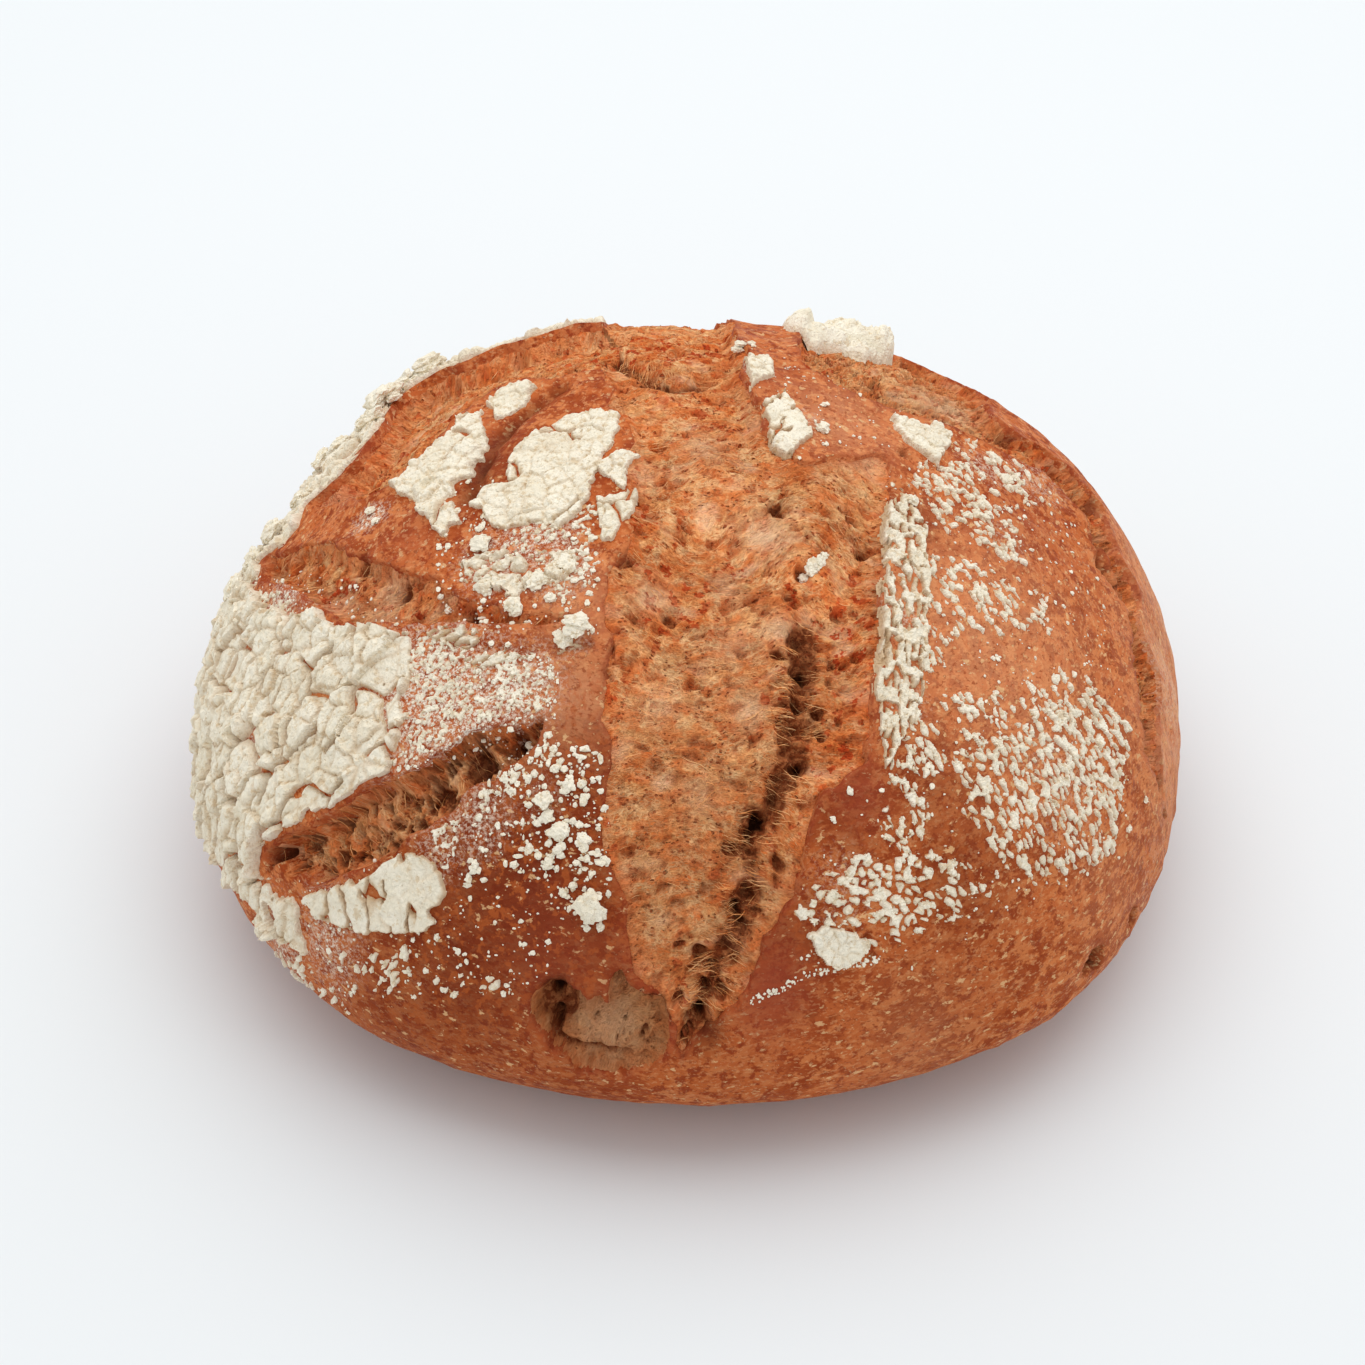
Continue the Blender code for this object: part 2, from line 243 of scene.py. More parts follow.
def noise(points, size):
    """Smooth noise in space, about -1 to 1, with lumps about this size across."""
    scaled = points / size
    cells = np.floor(scaled).astype(int)
    inner = scaled - cells
    weight = inner**3 * (inner * (inner * 6 - 15) + 10)
    total = np.zeros(points.shape[:-1])
    for corner in np.ndindex(2, 2, 2):
        corner = np.array(corner)
        share = np.where(corner, weight, 1 - weight).prod(-1)
        total += share * (DIRECTIONS[table_entry(cells + corner)] * (inner - corner)).sum(-1)
    return 1.6 * total


def flat_noise(places, size, layer=0.0):
    """The same noise on the map. size is one length, or one for each direction."""
    scaled = places / np.asarray(size)
    return noise(np.column_stack([scaled, np.full(len(places), 7.3 * layer + 0.37)]), 1.0)


def ridges(places, size, layer=0.0):
    """Noise folded into narrow ridges, 0 to 1."""
    return (1 - np.minimum(np.abs(flat_noise(places, size, layer)) * 1.5, 1)) ** 2


def cells_on(places, size, layer=0):
    """(distance to the nearest seed, to the next, the nearest one's number) in cells of this size."""
    scaled = places / np.asarray(size)
    home = np.floor(scaled).astype(int)
    first = np.full(len(places), np.inf)
    second = first.copy()
    number = np.zeros(len(places))
    for corner in np.ndindex(3, 3):
        cell = home + np.array(corner) - 1
        entry = table_entry(np.column_stack([cell, np.full(len(places), layer)]))
        seed = cell + 0.5 + 0.46 * DIRECTIONS[entry][:, :2]
        away = np.hypot(*(scaled - seed).T)
        nearer = away < first
        second = np.minimum(second, np.where(nearer, first, away))
        number = np.where(nearer, entry / NOISE_TABLE, number)
        first = np.where(nearer, away, first)
    return first, second, number


def turned(places, degrees):
    """Places on axes turned by this much: along that direction, and across it."""
    turn = np.radians(degrees)
    cosine, sine = np.cos(turn), np.sin(turn)
    x, y = places.T
    return np.column_stack([cosine * x + sine * y, cosine * y - sine * x])


def shaken(places, size, reach, layer):
    """Places moved about by up to some reach, in bends of this size."""
    shift = [flat_noise(places, size, layer), flat_noise(places, size, layer + 0.5)]
    return places + reach * np.column_stack(shift)


# Tears, ditches and holes


def tear(left, right, depths, lips, ears, pull):
    """A furrow torn between two banks: its depth beside each, how wide each lip is and how high, its pull."""
    return {
        "banks": (smooth_line(left), smooth_line(right)),
        "depths": depths,
        "lips": lips,
        "ears": ears,
        "pull": pull,
    }


def main_tear():
    """The widest tear, from low on the front over the crown and some way down the back."""
    left = np.vstack([
        seen((685, 1052), (652, 988), (628, 940), (614, 887), (600, 812), (609, 762), (594, 706), (606, 652)),
        seen((600, 604), (622, 548), (631, 490), (627, 430), (604, 372)),
        [(-0.022, 0.100), (-0.020, 0.126), (-0.012, 0.146)],
    ])
    right = np.vstack([
        seen((685, 1052), (735, 1005), (775, 924), (800, 870), (826, 797), (866, 765), (876, 690)),
        seen((882, 580), (890, 508), (888, 462), (845, 458), (790, 462), (752, 402), (744, 352)),
        [(0.012, 0.106), (0.004, 0.128), (-0.012, 0.146)],
    ])
    return tear(left, right, (0.0018, 0.0032), (0.004, 0.005), (0.0003, 0.0020), 0)


def back_left_tear():
    """The tear that branches off behind the crown and runs down to the left, under a thick lip."""
    left = seen((604, 372), (545, 380), (492, 388), (440, 435), (392, 486), (345, 499), (312, 505))
    right = seen((640, 326), (572, 337), (516, 352), (464, 369), (412, 393), (366, 445), (312, 505))
    return tear(left, right, (0.0030, 0.0050), (0.004, 0.004), (0.0010, 0.0022), 28)


def left_tear():
    """The short tear above the big flour cake, which thins out into a crease."""
    left = seen((262, 568), (275, 590), (320, 613), (372, 624), (430, 628), (500, 630), (588, 634))
    right = seen((262, 568), (288, 548), (330, 545), (388, 566), (440, 585), (500, 606), (588, 630))
    return tear(left, right, (0.0040, 0.0028), (0.003, 0.004), (0.0016, 0.0008), 15)


def right_tear():
    """The tear that runs from behind the crown round the loaf's right side."""
    left = np.vstack([
        [(0.034, 0.104)],
        seen((800, 358), (849, 392), (925, 418), (990, 450), (1040, 484), (1075, 522), (1092, 560)),
        seen((1112, 604), (1121, 640), (1128, 684), (1132, 740), (1144, 775), (1155, 800)),
    ])
    right = np.vstack([
        [(0.034, 0.104), (0.056, 0.096), (0.082, 0.084)],
        seen((1000, 424), (1058, 470), (1090, 518), (1106, 560), (1124, 600), (1130, 640), (1148, 684)),
        seen((1152, 740), (1155, 775), (1155, 800)),
    ])
    return tear(left, right, (0.0030, 0.0030), (0.0026, 0.0026), (0.0012, 0.0008), 60)


def slash():
    """The straight cut on the left, opened like an eye."""
    left = seen((268, 856), (300, 880), (337, 877), (404, 843), (461, 807), (528, 756), (548, 726))
    right = seen((268, 856), (303, 834), (360, 800), (427, 761), (483, 730), (520, 722), (548, 726))
    return tear(left, right, (0.0046, 0.0056), (0.0015, 0.0025), (0.0010, 0.0008), -62)


def blister():
    """The burst blister at the foot of the main tear, with a tooth of crust that hangs over it."""
    left = seen((536, 996), (540, 1025), (552, 1046), (590, 1064), (628, 1067), (657, 1064), (672, 1046))
    right = seen(
        (536, 996), (548, 984), (572, 988), (587, 1000), (600, 990), (608, 1006), (614, 976), (630, 972),
        (645, 990), (662, 1000), (672, 1046),
    )
    return tear(left, right, (0.0034, 0.0030), (0.0018, 0.0018), (0.0009, 0.0008), 20)


def hidden_tear():
    """A short tear low on the back, where the loaf also gave way."""
    left = [(-0.105, 0.085), (-0.080, 0.112), (-0.050, 0.134), (-0.022, 0.146)]
    right = [(-0.105, 0.085), (-0.070, 0.102), (-0.042, 0.124), (-0.022, 0.146)]
    return tear(left, right, (0.0036, 0.0036), (0.003, 0.003), (0.0008, 0.0008), -52)


TEARS = (main_tear(), back_left_tear(), left_tear(), right_tear(), slash(), blister(), hidden_tear())

MAIN, BACK_LEFT, LEFT, RIGHT, SLASH, BLISTER, HIDDEN = range(len(TEARS))

# The deep crevice along the right of the main tear.
CREVICE = smooth_line(
    seen((806, 632), (801, 700), (790, 765), (762, 822), (747, 870), (742, 925), (712, 980), (702, 1022))
)

# Lesser ditches: (pixels along it, half width, depth).
LESSER_DITCHES = (
    (((612, 352), (640, 366), (668, 376), (700, 372)), 0.0030, 0.0034),
    (((350, 470), (372, 484), (396, 476)), 0.0020, 0.0024),
    (((468, 500), (480, 470), (494, 442), (508, 424), (532, 404), (560, 388)), 0.0026, 0.0028),
    (((1062, 500), (1080, 528), (1094, 571), (1112, 606)), 0.0010, 0.0024),
    (((455, 646), (500, 650), (550, 650), (592, 644)), 0.0006, 0.0014),
    (((785, 1010), (800, 1016), (822, 1014), (845, 1020)), 0.0003, 0.0008),
    (((864, 935), (873, 950), (866, 962)), 0.0004, 0.0010),
    (((551, 1042), (570, 1052), (592, 1058), (628, 1060)), 0.0008, 0.0036),
)

# All of them: (line, half width, depth).
DITCHES = [(CREVICE, 0.0048, 0.0040)] + [
    (smooth_line(seen(*pixels)), half_width, depth) for pixels, half_width, depth in LESSER_DITCHES
]

# Dark cavities in the crumb: (pixel, radius, depth).
CAVITIES = (
    ((658, 440), 0.0018, 0.0025), ((778, 500), 0.0019, 0.0034), ((779, 508), 0.0014, 0.0023),
    ((752, 484), 0.0012, 0.0016), ((730, 472), 0.0030, 0.0011), ((852, 516), 0.0016, 0.0023),
    ((862, 548), 0.0019, 0.0028), ((870, 546), 0.0014, 0.0023), ((836, 526), 0.0014, 0.0016),
    ((811, 536), 0.0014, 0.0016), ((804, 568), 0.0024, 0.0028), ((840, 612), 0.0015, 0.0025),
    ((658, 588), 0.0035, 0.0014), ((760, 530), 0.0054, 0.0011), ((624, 560), 0.0016, 0.0021),
    ((668, 616), 0.0018, 0.0028), ((636, 608), 0.0014, 0.0016), ((612, 648), 0.0011, 0.0018),
    ((608, 674), 0.0010, 0.0016), ((650, 676), 0.0010, 0.0014), ((730, 676), 0.0011, 0.0016),
    ((740, 650), 0.0014, 0.0018), ((780, 650), 0.0016, 0.0022), ((792, 592), 0.0024, 0.0023),
    ((798, 636), 0.0030, 0.0032), ((803, 668), 0.0024, 0.0044), ((800, 700), 0.0018, 0.0040),
    ((820, 708), 0.0016, 0.0040), ((788, 722), 0.0030, 0.0022), ((834, 660), 0.0012, 0.0024),
    ((832, 678), 0.0012, 0.0022), ((858, 656), 0.0009, 0.0018), ((840, 716), 0.0012, 0.0022),
    ((822, 730), 0.0014, 0.0026), ((799, 764), 0.0022, 0.0050), ((786, 778), 0.0030, 0.0030),
    ((776, 800), 0.0024, 0.0030), ((761, 820), 0.0024, 0.0056), ((748, 832), 0.0022, 0.0030),
    ((733, 846), 0.0022, 0.0034), ((749, 848), 0.0018, 0.0030), ((781, 864), 0.0018, 0.0028),
    ((776, 880), 0.0014, 0.0024), ((749, 897), 0.0020, 0.0032), ((737, 909), 0.0018, 0.0030),
    ((741, 925), 0.0018, 0.0034), ((758, 915), 0.0013, 0.0024), ((680, 945), 0.0014, 0.0026),
    ((700, 961), 0.0020, 0.0032), ((713, 977), 0.0018, 0.0030), ((728, 950), 0.0016, 0.0026),
    ((676, 1001), 0.0016, 0.0034), ((721, 997), 0.0020, 0.0040), ((706, 992), 0.0016, 0.0030),
    ((700, 1019), 0.0018, 0.0044), ((686, 1037), 0.0015, 0.0030), ((642, 700), 0.0009, 0.0012),
    ((655, 770), 0.0014, 0.0010), ((712, 792), 0.0016, 0.0012), ((640, 843), 0.0012, 0.0010),
    ((752, 700), 0.0040, 0.0008), ((610, 350), 0.0030, 0.0039), ((630, 362), 0.0019, 0.0034),
    ((645, 377), 0.0027, 0.0041), ((662, 376), 0.0019, 0.0034), ((676, 345), 0.0027, 0.0023),
    ((830, 372), 0.0027, 0.0023), ((430, 490), 0.0019, 0.0021), ((448, 404), 0.0016, 0.0018),
    ((372, 482), 0.0024, 0.0034), ((308, 568), 0.0022, 0.0018), ((362, 566), 0.0024, 0.0025),
    ((402, 590), 0.0027, 0.0025), ((468, 612), 0.0022, 0.0030), ((880, 372), 0.0032, 0.0023),
    ((855, 352), 0.0027, 0.0021), ((960, 400), 0.0024, 0.0021), ((1010, 438), 0.0030, 0.0028),
    ((1050, 470), 0.0030, 0.0028), ((1085, 510), 0.0027, 0.0025),
)

# Bubble holes: (pixel, radius, depth).
HOLES = (
    ((470, 762), 0.0036, 0.0050), ((479, 772), 0.0018, 0.0040), ((512, 744), 0.0028, 0.0042),
    ((436, 794), 0.0024, 0.0034), ((425, 806), 0.0018, 0.0036), ((398, 828), 0.0012, 0.0034),
    ((412, 822), 0.0012, 0.0030), ((330, 862), 0.0014, 0.0026), ((348, 858), 0.0012, 0.0024),
    ((276, 857), 0.0022, 0.0044), ((557, 1008), 0.0060, 0.0048), ((553, 997), 0.0022, 0.0040),
    ((551, 1030), 0.0022, 0.0040), ((643, 1037), 0.0009, 0.0034), ((642, 1045), 0.0007, 0.0028),
    ((626, 1022), 0.0006, 0.0022), ((598, 1020), 0.0005, 0.0016), ((618, 1044), 0.0006, 0.0018),
    ((1093, 572), 0.0016, 0.0046), ((1119, 607), 0.0019, 0.0052), ((1105, 590), 0.0010, 0.0026),
    ((1155, 786), 0.0024, 0.0055), ((1160, 811), 0.0010, 0.0036), ((1095, 957), 0.0028, 0.0065),
    ((1086, 966), 0.0016, 0.0040), ((1133, 918), 0.0017, 0.0050), ((905, 457), 0.0018, 0.0026),
    ((940, 470), 0.0012, 0.0016),
)

# Where the skyline shows the tears' ears lower than elsewhere: (pixel, radius, strength).
LOW_EARS = (((640, 322), 0.012, 0.9), ((738, 324), 0.014, 0.9), ((1110, 520), 0.024, 0.6))

# How the tears' banks wander from their smooth lines: (size of a bend, how far).
WANDER = ((0.015, 0.0027), (0.0045, 0.0015))


def calm_share(places):
    """The share of the tears' depth and lips that is left at each place: little behind the crown's right."""
    return 1 - 0.7 * near(places, (845, 476), 0.017)


def tear_fields(places):
    """What the tears do at each place: how far inside one it is, its floor's depth, lips, and which it is."""
    count = len(places)
    inside = np.full(count, -0.03)
    depth, ears = np.zeros(count), np.zeros(count)
    number = np.zeros(count, int)
    spots = places
    for layer, (size, reach) in enumerate(WANDER):
        spots = shaken(spots, size, reach, 71 + layer)
    for index, made in enumerate(TEARS):
        left, right = (distance_to_line(spots, bank) for bank in made["banks"])
        torn = within(spots, np.vstack([made["banks"][0], made["banks"][1][::-1]]))
        share = left / np.maximum(left + right, 1e-9)
        sunk = made["depths"][0] + (made["depths"][1] - made["depths"][0]) * ease(share)
        sunk *= ease(left / made["lips"][0]) * ease(right / made["lips"][1])
        lips = [height * np.exp(-away / EAR_FADE) for height, away in zip(made["ears"], (left, right))]
        signed = np.where(torn, 1, -1) * np.minimum(left, right)
        number = np.where(signed > inside, index, number)
        inside = np.maximum(inside, signed)
        depth = np.maximum(depth, np.where(torn, sunk, 0))
        ears = np.maximum(ears, np.maximum(*lips))
    calm = calm_share(places)
    ears *= calm * (1 - zone(places, LOW_EARS))
    return {"inside": inside, "depth": depth * calm, "ears": ears, "number": number}


def dents(places):
    """The depth that the ditches and bubble holes take out at each place."""
    deep = np.zeros(len(places))
    for line, half_width, depth in DITCHES:
        ragged = half_width * (1 + 0.5 * flat_noise(places, 0.006, 3))
        uneven = depth * (0.8 + 0.6 * flat_noise(places, 0.006, 4))
        deep += uneven * np.exp(-((distance_to_line(places, line) / ragged) ** 2))
    spots = shaken(shaken(places, 0.0045, 0.0013, 5), 0.0018, 0.0006, 6)
    for pixel, radius, depth in HOLES + CAVITIES:
        away = np.linalg.norm(spots - seen(pixel)[0], axis=1)
        deep += depth * np.exp(-((away / radius) ** 5))
    return deep


# Making pieces


def net_over_disc(count):
    """A square net of count x count cells bent onto a disc of radius 1: (points, faces, rim in order)."""
    steps = np.linspace(-1, 1, count + 1)
    p, q = np.meshgrid(steps, steps, indexing="ij")
    points = np.stack([p * np.sqrt(1 - q**2 / 2), q * np.sqrt(1 - p**2 / 2)], -1).reshape(-1, 2)
    number = np.arange((count + 1) ** 2).reshape(count + 1, count + 1)
    faces = np.stack([number[:-1, :-1], number[1:, :-1], number[1:, 1:], number[:-1, 1:]], -1).reshape(-1, 4)
    rim = np.concatenate([number[:-1, 0], number[-1, :-1], number[:0:-1, -1], number[0, :0:-1]])
    return points, faces, rim


def net_over_box(low, high, step):
    """A net of square cells over a box of the map: (places, faces)."""
    x, y = np.meshgrid(np.arange(low[0], high[0], step), np.arange(low[1], high[1], step), indexing="ij")
    number = np.arange(x.size).reshape(x.shape)
    faces = np.stack([number[:-1, :-1], number[1:, :-1], number[1:, 1:], number[:-1, 1:]], -1).reshape(-1, 4)
    return np.column_stack([x.ravel(), y.ravel()]), faces


def kept_part(faces, shown):
    """(faces that have a shown corner, renumbered; the points that they use)."""
    faces = faces[shown[faces].any(1)]
    used = np.unique(faces)
    number = np.zeros(len(shown), int)
    number[used] = np.arange(len(used))
    return number[faces], used


def make_piece(name, points, faces, material, values, smooth=True):
    """A piece that rides with the loaf. values has a number at each point for each name in it."""
    mesh = bpy.data.meshes.new(name)
    mesh.from_pydata(points.tolist(), [], faces if isinstance(faces, list) else faces.tolist())
    for label, numbers in values.items():
        mesh.attributes.new(label, "FLOAT", "POINT").data.foreach_set("value", numbers.astype(np.float32))
    if smooth:
        mesh.shade_smooth()
    mesh.materials.append(material)
    piece = bpy.data.objects.new(name, mesh)
    bpy.context.scene.collection.objects.link(piece)
    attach(piece, "root")
    return piece


def joined(parts):
    """Several (points, faces, values) as one."""
    starts = np.cumsum([0] + [len(points) for points, _, _ in parts[:-1]])
    points = np.vstack([points for points, _, _ in parts])
    faces = np.vstack([faces + start for (_, faces, _), start in zip(parts, starts)])
    names = parts[0][2]
    return points, faces, {name: np.concatenate([values[name] for _, _, values in parts]) for name in names}


# Crust

# Where the loaf swells or sinks a little more than its plain form: (pixel, radius, height).
SWOLLEN = (
    ((1170, 690), 0.050, 0.0036), ((262, 530), 0.040, -0.0030), ((960, 385), 0.020, -0.0012),
    ((540, 335), 0.020, -0.0012),
)

# How the crust's net gathers at the tears' banks: within this distance, and by this share.
GATHER_REACH = 0.0030

GATHER_SHARE = 0.6

# Where the crust is darker: (pixel, radius, strength).
DARK = (
    ((520, 890), 0.034, 1.0), ((540, 925), 0.022, 1.0), ((580, 800), 0.024, 0.8),
    ((600, 860), 0.016, 0.7), ((470, 955), 0.032, 0.9), ((700, 1085), 0.035, 0.2),
    ((590, 950), 0.020, 0.8), ((790, 935), 0.014, 0.7), ((850, 820), 0.012, 0.6),
    ((560, 1075), 0.030, 0.4), ((480, 470), 0.012, 0.6), ((905, 520), 0.008, 0.7),
    ((960, 880), 0.016, 0.6), ((930, 800), 0.014, 0.5), ((400, 1010), 0.030, 0.6),
    ((690, 340), 0.010, 0.3), ((930, 1000), 0.030, 0.25),
)

# Where it is paler: (pixel, radius, strength).
PALE = (
    ((985, 640), 0.032, 0.5), ((940, 600), 0.020, 0.5), ((1000, 740), 0.022, 0.2),
    ((1155, 625), 0.022, 1.0), ((1161, 700), 0.022, 1.0), ((1158, 755), 0.018, 0.8),
    ((840, 420), 0.018, 0.5), ((575, 700), 0.012, 0.8), ((580, 610), 0.012, 0.5),
    ((920, 1040), 0.016, 0.2), ((1110, 880), 0.020, 0.2),
)

# Where it is purplish and smooth: (pixel, radius, strength).
PURPLE = (
    ((650, 960), 0.012, 0.6), ((770, 985), 0.012, 1.0), ((560, 960), 0.016, 0.4),
    ((475, 450), 0.010, 0.6), ((750, 375), 0.010, 0.7), ((1010, 520), 0.018, 0.3),
    ((420, 540), 0.012, 0.4), ((855, 790), 0.008, 0.8), ((300, 590), 0.006, 0.8),
    ((672, 1028), 0.004, 0.8), ((330, 826), 0.004, 0.9), ((360, 806), 0.004, 0.9),
)

# Where powder lies on the crust beyond the patches: (pixel, radius, strength).
DUSTED = (
    ((430, 690), 0.022, 1.0), ((515, 690), 0.013, 0.95), ((470, 720), 0.014, 1.0),
    ((560, 570), 0.010, 0.8), ((540, 540), 0.012, 0.9), ((500, 560), 0.012, 0.8),
    ((540, 800), 0.010, 0.4), ((480, 820), 0.011, 0.7), ((440, 850), 0.010, 0.6),
    ((330, 940), 0.016, 0.7), ((280, 940), 0.014, 0.8), ((372, 520), 0.006, 1.0),
    ((285, 605), 0.009, 1.0), ((1030, 485), 0.012, 0.55), ((985, 470), 0.010, 0.6),
    ((1000, 540), 0.012, 0.4), ((900, 620), 0.008, 0.6), ((905, 700), 0.008, 0.5),
    ((1060, 790), 0.020, 0.4), ((840, 890), 0.014, 0.4), ((1160, 700), 0.026, 0.45),
    ((1156, 640), 0.024, 0.40), ((1150, 880), 0.020, 0.35), ((800, 420), 0.008, 0.6),
    ((750, 370), 0.008, 0.5), ((240, 700), 0.030, 0.9), ((575, 640), 0.006, 0.6),
)


def swell(places, points):
    """The gentle unevenness of the whole loaf."""
    total = SWELL * noise(points, SWELL_SIZE)
    for pixel, radius, height in SWOLLEN:
        total = total + height * near(places, pixel, radius)
    return total


def crust_height(places, points, fields):
    """The height of the crust over the plain loaf. It dives under the crumb inside a tear."""
    grain = 0.0004 * noise(points, 0.012) + 0.00025 * noise(points, 0.0055)
    wrinkles = 0.0005 * ridges(places, (0.030, 0.006), 21) * ease(0.5 + flat_noise(places, 0.04, 22))
    whole = fields["ears"] + grain + wrinkles
    dive = ease(fields["inside"] / DIVE_REACH)
    return whole * (1 - dive) - dive * (fields["depth"] + UNDER_CRUMB) - dents(places) + swell(places, points)


def ground(places, points):
    """The height of what flour lies on: the crust, or the floor of a tear."""
    fields = tear_fields(places)
    sunk = ease(fields["inside"] / DIVE_REACH) * fields["depth"]
    fields["inside"] = np.minimum(fields["inside"], 0)
    return crust_height(places, points, fields) - sunk


def gathered(places):
    """A net's places, drawn together at the tears' banks, whose edges then come out sharp."""
    step = 1e-4
    inside = tear_fields(places)["inside"]
    slopes = [(tear_fields(places + shift)["inside"] - inside) / step for shift in step * np.eye(2)]
    slopes = np.column_stack(slopes)
    slopes /= np.maximum(np.linalg.norm(slopes, axis=1), 1)[:, None]
    pull = GATHER_SHARE * inside * np.exp(-((inside / GATHER_REACH) ** 2))
    return places - pull[:, None] * slopes


def crust_values(places, fields):
    """The numbers that colour the crust at each place."""
    uneven = ease(0.6 + 0.9 * flat_noise(places, 0.009, 23))
    lip = np.exp(-np.abs(fields["inside"]) / 0.0008) * uneven * calm_share(places)
    return {
        "dark": zone(places, DARK),
        "pale": zone(places, PALE),
        "purple": np.maximum(zone(places, PURPLE), 0.7 * lip),
        "dust": zone(places, DUSTED),
        # Painted shade: darker in the ditches, bubble holes and cavities, by how deep they are.
        "pit_shade": np.clip(dents(places) / 0.004, 0, 1),
    }


def crust():
    """The whole crust, closed by the flat base."""
    disc, faces, rim = net_over_disc(CRUST_NET)
    turn = np.arctan2(disc[:, 1], disc[:, 0])
    level = np.column_stack([np.cos(turn), np.sin(turn), np.zeros(len(turn))])
    foot_share = (1 - (WIDEST_AT / FOOT_REACH) ** FOOT_POWER) ** (1 / FOOT_POWER)
    foot_tilt = np.arctan2(foot_share / plain_norm(level), -WIDEST_AT)
    places = np.column_stack([np.cos(turn), np.sin(turn)])
    places *= (np.hypot(disc[:, 0], disc[:, 1]) * foot_tilt * MAP_PER_RADIAN)[:, None]
    at_rim = np.hypot(disc[:, 0], disc[:, 1]) > 1 - 1e-6
    places = np.where(at_rim[:, None], places, gathered(places))
    points, normals = skin(places)
    fields = tear_fields(places)
    points = raised(points, normals, crust_height(places, points, fields))
    points[:, 2] = np.where(at_rim, 0, np.maximum(points[:, 2], 0.0002))
    faces = faces.tolist() + [rim[::-1].tolist()]
    piece = make_piece("loaf_crust", points, faces, crust_material(), crust_values(places, fields))
    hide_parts("loaf")


# Torn crumb

# Where the main tear's fibres turn from straight across: (pixel, radius, slope).
FLOWS = (
    ((652, 560), 0.015, -0.8), ((765, 545), 0.013, 0.8), ((850, 530), 0.014, -0.9),
    ((680, 455), 0.016, 0.6), ((860, 480), 0.012, -0.7), ((650, 640), 0.014, -0.4),
    ((770, 640), 0.012, 0.5), ((750, 735), 0.014, 0.3), ((850, 640), 0.010, 0.9),
    ((640, 380), 0.012, 0.7), ((790, 850), 0.010, -0.5), ((640, 860), 0.014, 0.15),
)

# Where painted shade dims the crumb more than elsewhere: (pixel, radius, strength).
SHADED_CRUMB = (
    ((680, 900), 0.040, 0.28), ((650, 780), 0.020, 0.15), ((700, 990), 0.016, 0.25),
    ((822, 700), 0.008, 0.20),
)

# Crumb that is redder than the rest: (pixel, radius, strength).
TOASTED = (
    ((640, 520), 0.008, 0.9), ((660, 560), 0.008, 0.8), ((690, 590), 0.007, 0.7),
    ((650, 625), 0.005, 0.9), ((736, 560), 0.004, 1.0), ((835, 552), 0.005, 1.0),
    ((790, 590), 0.004, 0.9), ((695, 612), 0.004, 0.9), ((612, 690), 0.005, 0.7),
    ((608, 835), 0.004, 0.9), ((870, 700), 0.010, 0.9), ((850, 640), 0.011, 1.0),
    ((858, 590), 0.008, 0.7), ((845, 760), 0.010, 0.9), ((800, 850), 0.008, 0.7),
    ((780, 690), 0.006, 0.7), ((700, 400), 0.014, 0.5), ((640, 345), 0.014, 1.0),
    ((690, 338), 0.012, 1.0), ((730, 330), 0.010, 0.9), ((790, 350), 0.012, 0.9),
    ((720, 880), 0.004, 0.5), ((690, 985), 0.010, 0.6), ((870, 610), 0.008, 0.5),
    ((400, 440), 0.010, 0.5), ((620, 465), 0.006, 0.6), ((330, 590), 0.007, 0.9),
    ((400, 618), 0.006, 0.9), ((480, 600), 0.007, 0.5), ((1040, 455), 0.014, 0.7),
    ((1110, 540), 0.010, 0.8),
)

# Smooth pale films between the fibres: (pixel, radius, strength).
FILMS = (
    ((768, 530), 0.0070, 1.0), ((652, 592), 0.0045, 1.0), ((725, 583), 0.0040, 0.8),
    ((780, 625), 0.0050, 0.9), ((750, 705), 0.0050, 0.8), ((705, 440), 0.0065, 0.7),
    ((735, 475), 0.0030, 0.6), ((860, 450), 0.0100, 0.9), ((640, 470), 0.0050, 0.7),
    ((700, 795), 0.0050, 0.5), ((605, 1030), 0.0120, 1.0), ((330, 603), 0.0070, 0.9),
    ((375, 616), 0.0060, 0.9), ((388, 590), 0.0070, 0.9), ((950, 394), 0.0110, 0.9),
    ((1138, 720), 0.0080, 0.8), ((660, 700), 0.0060, 0.5), ((735, 640), 0.0050, 0.6),
)

# How toasted each tear's crumb is, in the tears' order.
TOAST = np.array([0.25, 0.55, 0.30, 0.40, 0.10, -0.3, 0.5])

# How much painted shade dims it.
TEAR_SHADE = np.array([0.0, 0.0, 0.0, 0.05, 0.06, 0.50, 0.0])

# How full of open cells it is.
OPEN = np.array([0.0, 0.30, 0.35, 0.55, 0.95, 0.0, 0.5])


def pulled(places, number):
    """Places on axes along and across the direction in which the dough was pulled apart there."""
    axes = turned(places, np.array([made["pull"] for made in TEARS])[number])
    bent = places.copy()
    for pixel, radius, slope in FLOWS:
        bent[:, 1] -= slope * (places[:, 0] - seen(pixel)[0, 0]) * near(places, pixel, radius)
    axes = np.where((number == MAIN)[:, None], bent, axes)
    wander = np.column_stack([np.zeros(len(places)), flat_noise(places, 0.010, 41)])
    return axes + 0.0018 * wander


def pits(axes, size, layer, taken):
    """Pores of about this size, 1 in each. taken is the share of places without one."""
    first, _, number = cells_on(axes, size, layer)
    return np.exp(-((first / (0.20 + 0.22 * number)) ** 4)) * ((number > taken) * 1.0)


